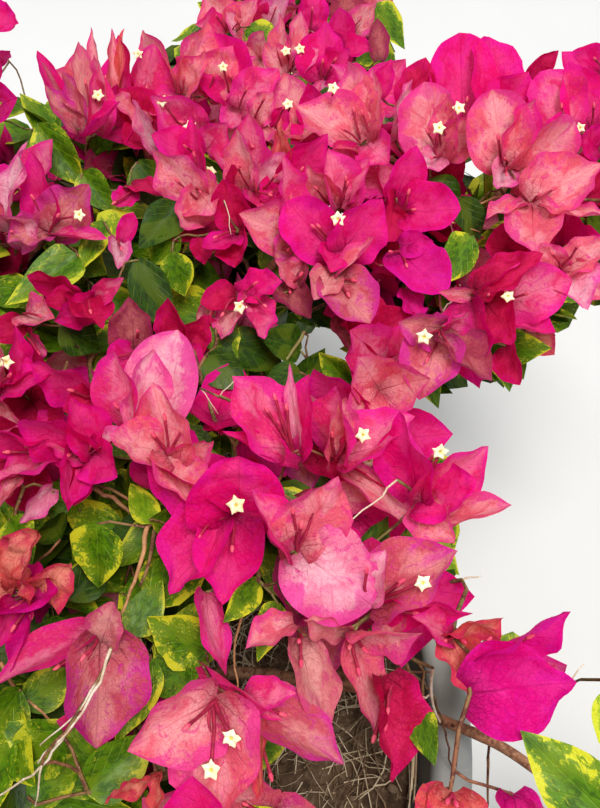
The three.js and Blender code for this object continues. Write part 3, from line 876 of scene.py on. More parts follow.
# -------------------------------------------------- what the view shows -----
# A bloom is (x, y, lift, [bracts], [open flowers], [buds]) in the view, where
# lift is how many centimetres nearer than the usual depth there it is, and a
# bract is (x and y of its base, x and y of its tip, width, family). A family in
# small letters has a round tip, as one that rolls back does.
BLOOMS = [
    # front row
    (297, 552, 1.6, [(297, 548, 336, 468, 76, "S"), (298, 550, 371, 602, 90, "p"), (290, 552, 251, 489, 30, "H")], [], [(293, 513), (315, 505), (301, 528)]),
    (232, 515, 0.6, [(232, 515, 148, 448, 44, "M"), (222, 515, 176, 593, 64, "M"), (232, 517, 226, 594, 66, "M"), (238, 522, 243, 460, 104, "m"), (206, 592, 218, 664, 26, "H")], [(236, 505)], [(212, 520)]),
    (100, 636, 1.2, [(100, 636, 100, 740, 74, "Q"), (92, 634, -2, 678, 32, "H"), (102, 642, 118, 601, 40, "T")], [], [(85, 655), (83, 668), (60, 665)]),
    (34, 594, 0.5, [(16, 592, 38, 526, 58, "C"), (34, 590, 76, 562, 40, "C"), (12, 596, 74, 594, 42, "V"), (36, 602, 28, 660, 32, "V"), (15, 600, 5, 640, 30, "M"), (12, 588, -30, 560, 44, "C")], [], [(15, 607), (15, 625), (32, 613)]),
    (213, 696, 2.0, [(212, 695, 225, 820, 96, "S"), (215, 697, 140, 728, 80, "S"), (203, 664, 288, 706, 24, "H")], [(211, 770), (231, 738)], [(236, 742)]),
    (252, 700, 1.0, [(250, 704, 343, 756, 42, "Q"), (262, 712, 268, 780, 16, "C"), (248, 700, 290, 686, 26, "H")], [], [(270, 773)]),
    (300, 634, 0.8, [(298, 640, 325, 719, 36, "T"), (294, 624, 252, 641, 24, "S")], [], [(301, 660), (299, 640)]),
    (352, 636, 1.0, [(352, 640, 370, 729, 42, "S"), (354, 632, 414, 620, 36, "S"), (347, 632, 308, 614, 32, "T")], [], [(350, 645), (363, 648), (358, 668)]),
    (392, 684, 0.2, [(380, 676, 388, 774, 56, "R")], [], [(388, 708), (386, 723), (375, 735)]),
    (376, 600, 1.2, [(372, 600, 456, 550, 62, "Q"), (380, 604, 470, 590, 36, "M"), (370, 598, 379, 552, 30, "P"), (396, 616, 384, 640, 26, "S")], [(423, 583)], [(396, 586)]),
    (453, 633, 1.2, [(448, 634, 494, 609, 38, "C"), (447, 634, 470, 688, 44, "C"), (451, 636, 408, 612, 28, "H")], [], [(446, 640), (462, 640)]),
    (476, 660, 1.8, [(470, 694, 572, 671, 92, "V"), (484, 654, 559, 606, 46, "V")], [], [(527, 638), (488, 642)]),
    (450, 792, 1.0, [(452, 792, 448, 852, 62, "C"), (446, 794, 420, 806, 30, "C")], [], [(448, 800), (455, 802)]),
    (512, 794, 1.0, [(512, 794, 518, 856, 54, "V"), (512, 794, 546, 806, 34, "V")], [], []),
    (156, 776, 0.2, [(155, 775, 111, 784, 26, "C"), (159, 772, 166, 812, 18, "C")], [], []),
    # second row
    (293, 452, 1.0, [(288, 450, 232, 378, 64, "H"), (300, 455, 314, 376, 36, "M"), (297, 465, 222, 436, 20, "M"), (298, 445, 291, 366, 14, "P")], [], [(268, 412), (276, 400), (287, 410)]),
    (336, 458, 0.8, [(338, 455, 350, 384, 48, "H"), (330, 460, 328, 393, 32, "S"), (340, 460, 415, 420, 46, "H"), (312, 450, 388, 484, 26, "R"), (345, 470, 429, 533, 26, "S")], [(363, 435)], []),
    (420, 500, 0.9, [(418, 498, 410, 407, 50, "M"), (420, 502, 480, 440, 60, "H"), (415, 503, 474, 482, 50, "M"), (420, 505, 442, 530, 50, "S"), (440, 520, 500, 503, 24, "S")], [(440, 452)], [(431, 460), (431, 468)]),
    (136, 428, 0.8, [(134, 430, 124, 354, 50, "h"), (140, 428, 146, 346, 46, "P"), (158, 420, 178, 332, 72, "p")], [], [(118, 408), (134, 403)]),
    (170, 458, 1.2, [(172, 462, 166, 378, 62, "S"), (170, 456, 116, 438, 44, "S"), (165, 452, 190, 503, 44, "S"), (176, 456, 212, 440, 30, "S")], [], [(165, 420), (181, 432), (155, 437)]),
    (88, 452, 0.6, [(92, 450, 38, 408, 50, "M"), (95, 450, 77, 400, 40, "M"), (95, 448, 132, 434, 18, "P"), (85, 458, 52, 440, 24, "H"), (76, 452, 67, 508, 28, "M"), (92, 450, 124, 470, 50, "M"), (82, 460, 78, 500, 20, "R")], [], [(91, 446), (74, 428), (70, 455)]),
    (100, 394, 0.2, [(100, 395, 48, 360, 44, "M"), (104, 398, 70, 412, 34, "R")], [], []),
    (8, 376, 0.6, [(5, 378, 16, 320, 36, "S"), (20, 386, 24, 330, 20, "M"), (2, 384, 50, 372, 24, "M")], [(6, 362)], []),
    (2, 396, 0.0, [(0, 394, 55, 374, 26, "M"), (-4, 400, 30, 424, 30, "S")], [], []),
    (56, 450, 0.0, [(58, 449, -4, 426, 36, "M"), (55, 454, 8, 478, 30, "H")], [], [(10, 452), (31, 447)]),
    (54, 492, 0.4, [(52, 488, 24, 515, 20, "P"), (20, 478, -2, 512, 18, "S")], [], []),
    # the middle, above
    (334, 246, 1.3, [(333, 254, 287, 204, 54, "m"), (340, 254, 378, 206, 50, "M"), (336, 250, 330, 272, 36, "M")], [(338, 219)], [(320, 228), (315, 228)]),
    (334, 204, 0.2, [(332, 204, 310, 170, 30, "S"), (338, 208, 330, 160, 40, "H"), (346, 200, 366, 166, 22, "H")], [], []),
    (296, 228, 0.4, [(298, 238, 240, 219, 54, "S"), (288, 222, 274, 166, 30, "H"), (296, 240, 268, 262, 34, "Q")], [], []),
    (336, 276, 1.2, [(335, 278, 366, 330, 54, "Q"), (333, 272, 314, 304, 34, "T"), (338, 272, 378, 250, 20, "S")], [], [(338, 285), (347, 293), (352, 280)]),
    (239, 232, 0.2, [(238, 235, 244, 276, 34, "R"), (240, 228, 228, 186, 38, "R"), (236, 234, 208, 262, 32, "M")], [], []),
    (240, 298, 0.8, [(240, 297, 279, 284, 32, "M"), (236, 300, 230, 343, 30, "S"), (248, 298, 264, 340, 30, "H"), (236, 296, 204, 306, 32, "R")], [(240, 307)], []),
    (290, 290, -0.6, [(280, 285, 306, 314, 34, "D"), (300, 280, 275, 264, 30, "S"), (296, 284, 300, 254, 26, "D")], [], [(300, 276), (290, 292)]),
    (346, 318, -0.8, [(342, 318, 352, 350, 34, "D"), (346, 312, 374, 326, 30, "R")], [], []),
    (199, 196, 0.8, [(197, 190, 222, 224, 50, "S"), (200, 200, 160, 156, 46, "S"), (205, 235, 206, 264, 28, "R"), (202, 194, 180, 232, 34, "S")], [], []),
    (214, 318, -0.6, [(222, 296, 198, 320, 28, "S"), (210, 345, 210, 320, 26, "R"), (212, 345, 210, 374, 26, "H"), (206, 340, 178, 352, 28, "M")], [], []),
    (256, 182, 0.6, [(252, 188, 242, 140, 32, "S"), (258, 190, 282, 158, 26, "P"), (252, 192, 268, 224, 28, "H")], [], []),
    (289, 178, 0.4, [(290, 186, 324, 138, 46, "M"), (288, 182, 288, 130, 18, "C"), (286, 188, 262, 206, 32, "M")], [], []),
    # left column
    (10, 228, 0.8, [(5, 228, 20, 138, 44, "P"), (5, 232, 50, 222, 34, "P"), (4, 226, -22, 190, 34, "S")], [], []),
    (50, 224, 1.0, [(50, 220, 40, 158, 42, "M"), (50, 232, 97, 188, 56, "Q"), (52, 234, 112, 246, 14, "H"), (46, 230, 18, 252, 40, "Q")], [(79, 215)], []),
    (86, 296, 0.8, [(75, 295, 40, 270, 26, "R"), (80, 300, 50, 304, 28, "R"), (80, 297, 106, 338, 34, "R"), (98, 298, 127, 280, 22, "H"), (92, 300, 62, 322, 24, "M")], [], [(76, 300), (90, 310)]),
    (118, 246, 0.6, [(118, 240, 121, 276, 22, "P"), (122, 242, 134, 218, 20, "M")], [], []),
    (36, 324, 0.0, [(25, 316, 64, 326, 34, "S"), (30, 336, 57, 352, 24, "H"), (22, 322, 0, 340, 30, "R")], [], []),
    (140, 340, -0.4, [(135, 350, 133, 310, 46, "D"), (138, 352, 110, 370, 34, "M")], [], [(138, 333)]),
    (184, 340, 0.2, [(185, 346, 178, 300, 36, "R"), (188, 346, 206, 318, 30, "R"), (184, 348, 196, 378, 30, "M")], [], []),
    (140, 190, -0.4, [(130, 185, 168, 200, 20, "R"), (134, 192, 118, 212, 24, "M")], [], []),
    # right, below the big heads
    (402, 212, 0.8, [(400, 212, 452, 216, 52, "m"), (396, 198, 412, 156, 38, "M"), (396, 202, 384, 244, 34, "R")], [], [(412, 210), (408, 194)]),
    (402, 254, 0.4, [(400, 252, 438, 294, 52, "v"), (400, 246, 428, 244, 26, "V"), (405, 290, 410, 324, 26, "V")], [], [(392, 252), (406, 264)]),
    (532, 202, 1.4, [(530, 202, 602, 165, 66, "S"), (532, 203, 528, 264, 56, "S"), (545, 205, 592, 234, 30, "S"), (522, 204, 483, 222, 20, "S")], [], [(538, 196), (552, 190)]),
    (486, 300, 1.0, [(478, 290, 532, 262, 36, "R"), (505, 300, 556, 287, 58, "H"), (472, 290, 517, 274, 24, "R"), (486, 302, 512, 348, 42, "R"), (470, 294, 440, 294, 14, "S"), (472, 302, 488, 388, 44, "M"), (505, 322, 545, 344, 26, "M"), (505, 346, 517, 384, 24, "R")], [(508, 296)], [(488, 296)]),
    (562, 270, 1.0, [(560, 270, 538, 248, 28, "S"), (562, 272, 570, 308, 54, "P"), (562, 268, 604, 248, 36, "S"), (566, 274, 598, 300, 40, "S")], [], []),
    (440, 330, 1.2, [(440, 328, 398, 325, 36, "Q"), (438, 335, 416, 399, 62, "Q"), (442, 335, 477, 380, 44, "D"), (448, 330, 462, 312, 24, "H")], [(424, 337)], [(428, 358), (455, 358)]),
    (476, 264, -1.4, [(480, 285, 470, 244, 32, "D")], [], []),
    # top left
    (92, 112, 1.2, [(88, 130, 74, 74, 22, "Q"), (96, 132, 99, 72, 22, "H"), (108, 112, 109, 66, 18, "S"), (86, 112, 77, 48, 16, "T"), (102, 96, 96, 32, 14, "S"), (112, 96, 111, 28, 14, "S"), (120, 100, 125, 28, 14, "C"), (60, 110, 42, 64, 18, "M"), (85, 137, 132, 120, 20, "M"), (78, 130, 48, 100, 22, "Q"), (70, 120, 56, 72, 15, "S"), (94, 120, 62, 112, 12, "P")], [(98, 95)], [(104, 80), (86, 84)]),
    (138, 100, 1.0, [(134, 102, 124, 40, 36, "M"), (142, 110, 149, 48, 34, "H"), (158, 150, 140, 110, 18, "P"), (150, 112, 118, 110, 36, "S")], [(138, 54)], []),
    (180, 98, 1.0, [(178, 96, 142, 30, 40, "S"), (186, 95, 197, 23, 42, "S"), (182, 98, 214, 66, 40, "S"), (180, 100, 158, 118, 34, "H")], [], []),
    (192, 136, 0.8, [(200, 132, 158, 104, 42, "H"), (200, 160, 158, 144, 46, "M"), (204, 180, 203, 120, 26, "M"), (206, 150, 232, 128, 34, "H")], [(162, 101), (190, 127)], [(160, 112)]),
    (8, 60, 1.0, [(-12, 22, 27, 34, 36, "M"), (-10, 115, 22, 112, 52, "m"), (-6, 84, 14, 70, 40, "M")], [], []),
    # top
    (230, 30, 1.0, [(228, 32, 205, -2, 44, "S"), (240, 36, 228, 16, 18, "P"), (232, 34, 256, 12, 36, "S"), (226, 36, 200, 40, 36, "H")], [], []),
    (262, 24, 0.6, [(270, 26, 292, 4, 32, "P"), (252, 26, 256, -4, 26, "R")], [], []),
    (290, 70, 1.4, [(285, 70, 285, 18, 24, "S"), (295, 66, 298, 16, 22, "S"), (292, 72, 318, 58, 26, "P"), (286, 74, 266, 52, 30, "S")], [(286, 51), (300, 49)], []),
    (322, 76, 0.8, [(322, 80, 326, 26, 48, "M"), (310, 30, 312, -2, 30, "M"), (326, 78, 352, 60, 34, "M")], [], []),
    (230, 96, 1.2, [(240, 100, 213, 34, 54, "M"), (205, 96, 234, 52, 42, "S"), (240, 110, 278, 80, 46, "H"), (238, 104, 236, 138, 34, "H")], [(223, 67)], []),
    (268, 120, 0.6, [(255, 120, 271, 104, 30, "S"), (275, 128, 287, 112, 20, "M"), (262, 126, 252, 152, 30, "S")], [], []),
    (364, 140, 1.4, [(362, 140, 356, 63, 50, "S"), (360, 145, 296, 104, 58, "S"), (372, 135, 373, 78, 34, "S"), (395, 140, 399, 84, 34, "P"), (380, 97, 389, 68, 20, "M"), (366, 144, 386, 172, 40, "H")], [(333, 88), (288, 104)], []),
    (352, 28, 0.4, [(350, 30, 345, -4, 36, "D"), (378, 60, 375, 28, 22, "D"), (354, 32, 376, 12, 30, "S")], [], []),
    # the big heads at the right
    (486, 116, 1.0, [(463, 126, 460, 28, 68, "m"), (493, 124, 490, 36, 62, "m"), (412, 112, 421, 70, 38, "R"), (490, 118, 520, 84, 44, "M")], [], []),
    (442, 150, 1.8, [(438, 158, 422, 86, 52, "s"), (440, 157, 420, 174, 30, "P"), (448, 147, 446, 104, 24, "S"), (444, 152, 478, 128, 40, "S")], [(439, 128), (459, 108)], []),
    (506, 166, 2.0, [(503, 167, 490, 92, 64, "s"), (510, 178, 576, 122, 50, "s"), (505, 168, 488, 194, 34, "P"), (504, 162, 520, 100, 40, "H")], [], [(505, 160)]),
    (572, 128, 0.8, [(560, 134, 546, 72, 56, "h"), (590, 130, 562, 68, 56, "M"), (600, 72, 568, 60, 34, "M"), (530, 78, 552, 58, 20, "R"), (600, 150, 570, 140, 36, "M"), (576, 134, 540, 146, 40, "M")], [(580, 128)], []),
]
# more blooms behind and between those above: (x, y, lift, family of its bracts)
FILL = [
    (330, 130, -2.6, "M"), (410, 130, -2.8, "M"), (250, 215, -2.8, "R"), (380, 250, -2.8, "R"),
    (366, 345, -3.0, "R"), (385, 360, -2.8, "H"), (470, 90, -3.0, "R"), (540, 110, -3.0, "R"),
    (520, 250, -3.2, "R"), (160, 130, -2.8, "R"), (20, 270, -3.2, "R"),
    (30, 400, -2.8, "R"), (20, 455, -2.8, "R"), (215, 420, -3.0, "M"), (400, 590, -3.2, "M"),
    (250, 170, -2.8, "H"), (350, 180, -2.6, "H"), (300, 130, -2.6, "S"), (215, 80, -2.6, "H"),
    (260, 60, -2.8, "S"), (340, 50, -2.6, "M"), (370, 100, -2.8, "H"), (200, 230, -3.0, "R"),
    (380, 390, -2.8, "S"), (430, 230, -3.4, "R"), (580, 200, -3.0, "R"), (560, 250, -3.2, "M"),
    (88, 98, -2.6, "S"), (110, 130, -3.0, "M"), (590, 90, -2.8, "M"), 
    (180, 480, -3.0, "M"), (270, 500, -3.2, "R"), (350, 520, -3.2, "M"), (440, 180, -3.4, "R"),
]
# leaves: (x and y of the base, x and y of the tip, width, kind, lift)
LEAVES = [
    (98, 524, 92, 594, 60, "variegated", 0.0), (152, 522, 122, 487, 26, "yellowed", 0.2),
    (150, 520, 174, 532, 20, "green", 0.2), (78, 256, 14, 312, 46, "green", -0.4),
    (182, 204, 142, 254, 42, "dark", -0.4), (180, 236, 146, 262, 28, "green", -0.3),
    (138, 260, 166, 332, 42, "dark", -0.2), (172, 252, 182, 294, 34, "variegated", -0.3),
    (138, 162, 180, 217, 40, "dark", -0.5), (38, 124, 80, 182, 42, "variegated", 0.0),
    (104, 222, 84, 278, 22, "variegated", -0.2), (82, 174, 114, 212, 34, "green", -0.4),
    (470, 236, 438, 288, 40, "variegated", 0.2), (460, 198, 482, 238, 32, "dark", -0.6),
    (636, 846, 531, 745, 78, "variegated", 1.5), (616, 690, 609, 758, 50, "yellowed", 1.6),
    (62, 734, -4, 788, 62, "green", -0.6), (88, 792, 154, 742, 58, "green", -0.8),
    (28, 797, 80, 772, 50, "green", -0.8), (20, 690, -6, 730, 52, "green", -1.0),
    (20, 706, 66, 682, 44, "green", -1.0), (206, 652, 150, 612, 56, "variegated", -1.2),
    (132, 634, 160, 582, 40, "green", -0.8), (150, 660, 120, 736, 44, "variegated", -1.2),
    (190, 690, 150, 650, 52, "variegated", -1.2), (250, 26, 278, 62, 34, "variegated", 0.0),
    (318, -4, 342, 18, 28, "green", 0.0), (376, 4, 402, 54, 32, "variegated", 0.0),
    (225, 338, 288, 366, 44, "dark", -1.0), (298, 392, 326, 350, 34, "dark", -3.4), (350, 384, 318, 352, 30, "green", -3.6), (206, 356, 246, 388, 42, "dark", -1.0),
    (212, 320, 238, 358, 40, "green", -0.8), (60, 326, 96, 352, 40, "dark", -1.0),
    (430, 180, 462, 214, 40, "dark", -1.0), (366, 560, 392, 520, 30, "dark", -1.4),
    (300, 350, 262, 338, 40, "dark", -1.2), (258, 580, 232, 608, 24, "variegated", -0.9),
    (10, 520, 40, 556, 44, "green", -1.0), (60, 540, 30, 520, 40, "dark", -1.2),
    (278, 604, 260, 650, 32, "variegated", -0.6), (100, 700, 60, 690, 44, "variegated", -1.2),
    (70, 600, 104, 560, 40, "dark", -1.4), (130, 500, 100, 486, 36, "dark", -1.0),
    (392, 640, 374, 668, 26, "dark", -1.6),
    (414, 704, 425, 740, 20, "green", -1.5), (300, 372, 262, 392, 36, "dark", -1.2),
    (100, 236, 130, 208, 34, "yellowed", -0.6), (70, 250, 100, 270, 34, "green", -0.8),
    (150, 190, 128, 158, 34, "green", -0.8), (225, 188, 240, 158, 30, "dark", -0.8),
]
# thin stems that show: ([points as (x, y)], s at its two ends, radius in mm, kind)
STEMS = [
    ([(398, 664), (432, 695), (456, 780)], (20.5, 18.0), 0.8, "twig"),
    ([(488, 757), (487, 812)], (18.6, 18.4), 0.8, "twig"),
    ([(400, 672), (430, 672)], (21.0, 20.6), 0.7, "twig"),
    ([(433, 668), (431, 695), (440, 722)], (22.6, 22.0), 0.75, "dry"),
    ([(423, 697), (433, 695)], (22.2, 22.2), 0.6, "dry"),
    ([(88, 486), (119, 503), (144, 523), (160, 522)], (21.4, 22.0), 1.2, "twig"),
    ([(147, 527), (142, 560), (122, 613)], (22.4, 23.2), 1.1, "tan"),
    ([(155, 528), (150, 556), (140, 586)], (22.0, 22.4), 1.1, "twig"),
    ([(111, 648), (95, 692), (66, 732), (38, 763)], (27.6, 27.0), 0.62, "dry"),
    ([(66, 732), (40, 768), (-6, 799)], (27.2, 26.4), 0.6, "dry"),
    ([(42, 764), (35, 806)], (26.9, 26.5), 0.45, "dry"),
    ([(98, 680), (74, 716), (40, 745)], (27.3, 26.9), 0.45, "dry"),
    ([(0, 662), (14, 689), (42, 712), (58, 732)], (23.6, 23.4), 0.9, "tan"),
    ([(258, 574), (240, 620), (234, 645), (238, 690)], (21.9, 22.2), 0.75, "tan"),
    ([(397, 480), (378, 498), (345, 525)], (23.2, 23.2), 0.5, "dry"),
    ([(304, 332), (292, 352), (276, 374)], (18.4, 18.8), 1.1, "twig"),
    ([(400, 235), (430, 224), (455, 223), (480, 232)], (16.8, 16.6), 0.7, "tan"),
    ([(478, 205), (494, 198), (510, 195)], (16.6, 16.4), 0.7, "tan"),
    ([(106, 318), (121, 323), (150, 318)], (18.0, 18.0), 0.5, "tan"),
    ([(113, 314), (121, 323), (113, 331)], (18.0, 18.0), 0.45, "tan"),
    ([(568, 685), (584, 664)], (22.8, 22.8), 0.45, "dry"),
    ([(462, 580), (481, 576)], (22.4, 22.4), 0.45, "dry"),
    ([(200, 388), (209, 402), (218, 414)], (20.6, 20.4), 0.32, "dry"),
    ([(220, 396), (234, 381)], (20.8, 20.8), 0.32, "dry"),
    ([(224, 200), (228, 214), (231, 234)], (17.6, 17.8), 0.28, "dry"),
    ([(443, 312), (452, 298)], (18.0, 18.0), 0.5, "dry"),
]


def seen_scale(x, y, lift):
    """Pixels in a centimetre at a place in the view, lift centimetres nearer than usual."""
    return 800 / (800 / scale_at(y) - lift)


BRACTS = {k: Blades() for k in FAMILIES}  # placed by the view: finely divided
ROUNDED = {k: Blades() for k in FAMILIES}  # of those, the ones whose tip rolls back
FAR_BRACTS = {k: Blades() for k in FAMILIES}  # grown by the rule
LEAF_SETS = {k: Blades() for k in LEAF_KINDS}
FAR_LEAVES = {k: Blades() for k in LEAF_KINDS}
tubes = []  # (start, end, radius, kind): the flowers' own tubes
stars = []  # (place, axis, size, fine)
targets = []  # (place, direction it is left in, mass or None, kind)
stalks = []  # (start, end, radius)
dots = []  # (x, y, depth) of the blooms placed by the view

WIDTH_SHARE = 0.8  # a bract's width to its length


def tube(start, end, fine, bud=True):
    tubes.append((np.array(start), np.array(end), fine, bud))


for bx, by, lift, bracts, open_flowers, buds in BLOOMS:
    s0 = seen_scale(bx, by, lift)
    middle = seen_at(bx, by, s0)
    faces = []
    for k, (x0, y0, x1, y1, w, family) in enumerate(bracts):
        rounded, family = family.islower(), family.upper()
        name = SHORT[family]
        near = seen_scale(bx, by, lift) * (1 + 0.002 * (k % 3))
        apart = math.hypot(x0 - bx, y0 - by)
        if apart > 16:  # an own flower of the same head
            near = seen_scale(x0, by + 0.5 * (y0 - by), lift - 0.25 * (k % 4))
        at = seen_at(x0, y0, near)
        flat = np.array([x1 - x0, -(y1 - y0)], float) / near / 100  # metres
        show, wide = float(np.hypot(*flat)), w / near / 100
        length = max(show * 1.02, min(0.0385, max(wide / 0.86, show * 1.2, 0.018)))
        length = min(length, max(0.046, show * 1.0))
        deep = math.sqrt(max(length**2 - show**2, 0.0))
        if deep > 0.9 * length:
            deep = 0.9 * length
        sign = 1.0
        if family == "D":
            sign = 0.3
        d = (
            ACROSS * flat[0]
            + UPWARD * flat[1]
            - AHEAD * sign * deep * (0.8 if show > 0.02 else 0.6)
        )
        d = unit(d) * length
        face = unit(-AHEAD - (np.dot(-AHEAD, unit(d))) * unit(d))
        real = max(length * (WIDTH_SHARE if w > 23 else 0.56 if w > 16 else 0.44), wide)
        real = min(real, wide / 0.66, 0.044)
        roll = math.acos(min(1.0, wide / real))
        side = np.cross(unit(d), face)
        # it turns its inner face towards the middle of its own bloom
        turn = 1 if (k + int(bx)) % 2 else -1
        if roll < 0.35:
            roll = 0.1 + 0.15 * rng.random()
        face = unit(face * math.cos(roll) + side * math.sin(roll) * turn)
        faces.append(face)
        (ROUNDED if rounded else BRACTS)[name].add(at, d, face, length, real)
        if apart > 30:
            targets.append((at, unit(unit(d) * 0.6 - AHEAD * 0.6), None, "petal"))
        elif apart > 4:
            stalks.append((middle + AHEAD * 0.003, at, 0.0009))
        mid_x, mid_y, mid_z = shown_at(at + d * 0.5)
        dots.append((float(mid_x[0]), float(mid_y[0]), float(mid_z[0])))
        if family in "SPTQHMC" and wide > 0.012 and len(buds) < 2 and k < 3:
            way = unit(d) * 0.86 + face * 0.5 + rng.normal(0, 0.08, 3)
            tube(at + face * 0.002, at + unit(way) * (0.013 + 0.005 * rng.random()), True)
    facing = unit(np.sum(faces, axis=0) - AHEAD * 0.6)
    for px, py in open_flowers:
        at = seen_at(px, py, 800 / (800 / s0 - 1.7))
        stars.append((at, unit(-AHEAD + rng.normal(0, 0.16, 3)), 0.0036 + 0.0002 * ((px + 3 * py) % 4), True))
        root = middle if np.linalg.norm(at - middle) < 0.03 else at + AHEAD * 0.012
        tube(root, at - unit(at - root) * 0.0022 + AHEAD * 0.001, True, bud=False)
    for px, py in buds:
        end = seen_at(px, py, 800 / (800 / s0 - 0.7))
        away = end - middle
        if np.linalg.norm(away) > 0.026:
            tube(end - unit(away) * 0.018, end, True)
        else:
            tube(middle, end, True)
    targets.append((middle, facing, None, "bloom"))

for px, py, lift, family in FILL:
    s0 = seen_scale(px, py, lift)
    at = seen_at(px, py, s0)
    axis = unit(-AHEAD + UP * 0.3 + rng.normal(0, 0.4, 3))
    helper = unit(np.cross(axis, [0.3, 0.5, 0.8]))
    other = np.cross(axis, helper)
    spin = 2 * math.pi * rng.random()
    for k in range(3):
        a = spin + k * 2.09 + rng.normal(0, 0.2)
        out = helper * math.cos(a) + other * math.sin(a)
        tilt = math.radians(rng.uniform(38, 74))
        d = unit(out * math.sin(tilt) + axis * math.cos(tilt))
        length = rng.uniform(0.033, 0.04)
        face = axis * math.sin(tilt) - out * math.cos(tilt)
        FAR_BRACTS[SHORT[family]].add(at, d * length, unit(face), length, length * 0.8)
    targets.append((at, axis, None, "bloom"))

for points, (s_a, s_b), radius, kind in STEMS:
    (xa, ya), (xb, yb) = points[:2]
    first, second = seen_at(xa, ya, s_a), seen_at(xb, yb, s_a)
    way = -AHEAD if kind == "dry" else unit(second - first)
    targets.append((first, way, None, "stem"))

for x0, y0, x1, y1, w, kind, lift in LEAVES:
    near = seen_scale((x0 + x1) / 2, (y0 + y1) / 2, lift)
    at = seen_at(x0, y0, near)
    flat = np.array([x1 - x0, -(y1 - y0)], float) / near / 100
    show = float(np.hypot(*flat))
    length = max(show * 1.04, 0.027)
    deep = math.sqrt(max(length**2 - show**2, 0)) * (1 if rng.random() < 0.5 else -1)
    d = ACROSS * flat[0] + UPWARD * flat[1] - AHEAD * deep
    face = unit(-AHEAD + rng.normal(0, 0.15, 3))
    LEAF_SETS[kind].add(at, d, face, length, max(w / near / 100, length * 0.5))
    targets.append((at, unit(d * -1 + UP * 0.002), None, "leaf"))

DOTS = np.array(dots)


# ------------------------------------------------ where the masses' skin is --
def skin(node, count, seed, apart):
    """Points spread over a CAD node's surface, with the surface's directions."""
    me = NODES[node].data
    co = np.zeros(len(me.vertices) * 3, np.float32)
    me.vertices.foreach_get("co", co)
    co = co.reshape(-1, 3).astype(float)
    me.calc_loop_triangles()
    tri = np.zeros(len(me.loop_triangles) * 3, np.int32)
    me.loop_triangles.foreach_get("vertices", tri)
    a, b, c = (co[tri.reshape(-1, 3)[:, k]] for k in range(3))
    n = np.cross(b - a, c - a)
    area = np.linalg.norm(n, axis=1)
    r = np.random.default_rng(seed)
    pick = r.choice(len(area), count * 14, p=area / area.sum())
    s, t = np.sqrt(r.random(len(pick))), r.random(len(pick))
    p = (1 - s)[:, None] * a[pick] + (s * (1 - t))[:, None] * b[pick]
    p = p + (s * t)[:, None] * c[pick]
    n = unit(n[pick])
    kept = []
    for i in range(len(p)):
        if all(np.linalg.norm(p[i] - p[j]) > apart for j in kept):
            kept.append(i)
        if len(kept) >= count:
            break
    return p[kept], n[kept], float(area.sum() / 2)


# Where the view shows what lies behind the bush: corners in the view.
OPEN = [
    np.array(
        [(640, 318), (572, 314), (548, 350), (524, 390), (470, 400), (430, 404), (398, 402), (402, 410),
         (440, 432), (482, 440), (505, 505), (462, 545), (474, 585), (486, 606), (530, 612), (562, 600), (580, 680), (520, 740),
         (500, 760), (545, 808), (530, 830), (640, 830)],
        float,
    ),
    np.array([(330, 700), (350, 745), (380, 780), (430, 790), (440, 830), (270, 830), (268, 800), (300, 740)], float),
    np.array([(240, 600), (300, 640), (330, 735), (290, 690), (262, 690), (232, 680)], float),
    np.array([(394, 660), (430, 668), (470, 700), (505, 745), (500, 770), (440, 792), (400, 760)], float),
    np.array([(290, 338), (338, 342), (338, 376), (296, 384)], float),
    np.array([(0, -40), (0, 0), (40, 30), (50, 80), (128, 78), (146, 40), (190, 20), (200, -40)], float),
    np.array([(0, 50), (28, 48), (40, 34), (46, 62), (40, 100), (26, 94), (0, 90)], float),
    np.array([(394, -40), (400, 40), (430, 70), (460, 28), (500, 40), (545, 50), (600, 46), (640, -40)], float),
]


# Where it shows leaves and stems, and no blossom.
GREEN = [
    np.array([(78, 500), (170, 500), (190, 560), (240, 580), (250, 640), (236, 690), (190, 660), (150, 740), (146, 650),
              (112, 600), (85, 600)], float),
    np.array([(0, 690), (60, 690), (110, 750), (150, 740), (150, 820), (-40, 820)], float),
    np.array([(40, 115), (85, 120), (110, 170), (150, 160), (185, 200), (190, 300), (150, 330), (120, 300), (75, 255),
              (12, 320), (8, 258), (80, 250), (100, 215), (70, 180)], float),
    np.array([(200, 335), (300, 330), (300, 396), (235, 400)], float),
    np.array([(425, 180), (480, 170), (500, 200), (480, 250), (440, 290), (430, 260)], float),
]


def inside(x, y, corners):
    x, y = np.atleast_1d(x), np.atleast_1d(y)
    hit = np.zeros(len(x), bool)
    j = len(corners) - 1
    for i in range(len(corners)):
        (xi, yi), (xj, yj) = corners[i], corners[j]
        cross = ((yi > y) != (yj > y)) & (x < (xj - xi) * (y - yi) / (yj - yi + 1e-12) + xi)
        hit ^= cross
        j = i
    return hit


def keeps_view(point, reach):
    """False where a grown bloom or leaf would cover what the view shows."""
    x, y, z = (float(v[0]) for v in shown_at(point))
    spread = reach / z * FOCAL
    if x < -spread or x > WIDE + spread or y < -spread or y > HIGH + spread:
        return True
    if float((np.asarray(point) - EYE) @ AHEAD) < 0.1:
        return False
    around = [(x, y)] + [
        (x + 0.8 * spread * math.cos(a), y + 0.8 * spread * math.sin(a)) for a in (0, 1.57, 3.14, 4.71)
    ]
    ax, ay = np.array(around).T
    for corners in OPEN:
        if inside(ax, ay, corners).any():
            return False
    if reach > 0.03:
        for corners in GREEN:
            if inside(x, y, corners).any():
                return False
    d = np.hypot(DOTS[:, 0] - x, DOTS[:, 1] - y)
    close = d < 62
    if close.any():
        return z > DOTS[close, 2].max() + 0.022
    usual = 8.0 / scale_at(y)
    return z > usual - 0.01


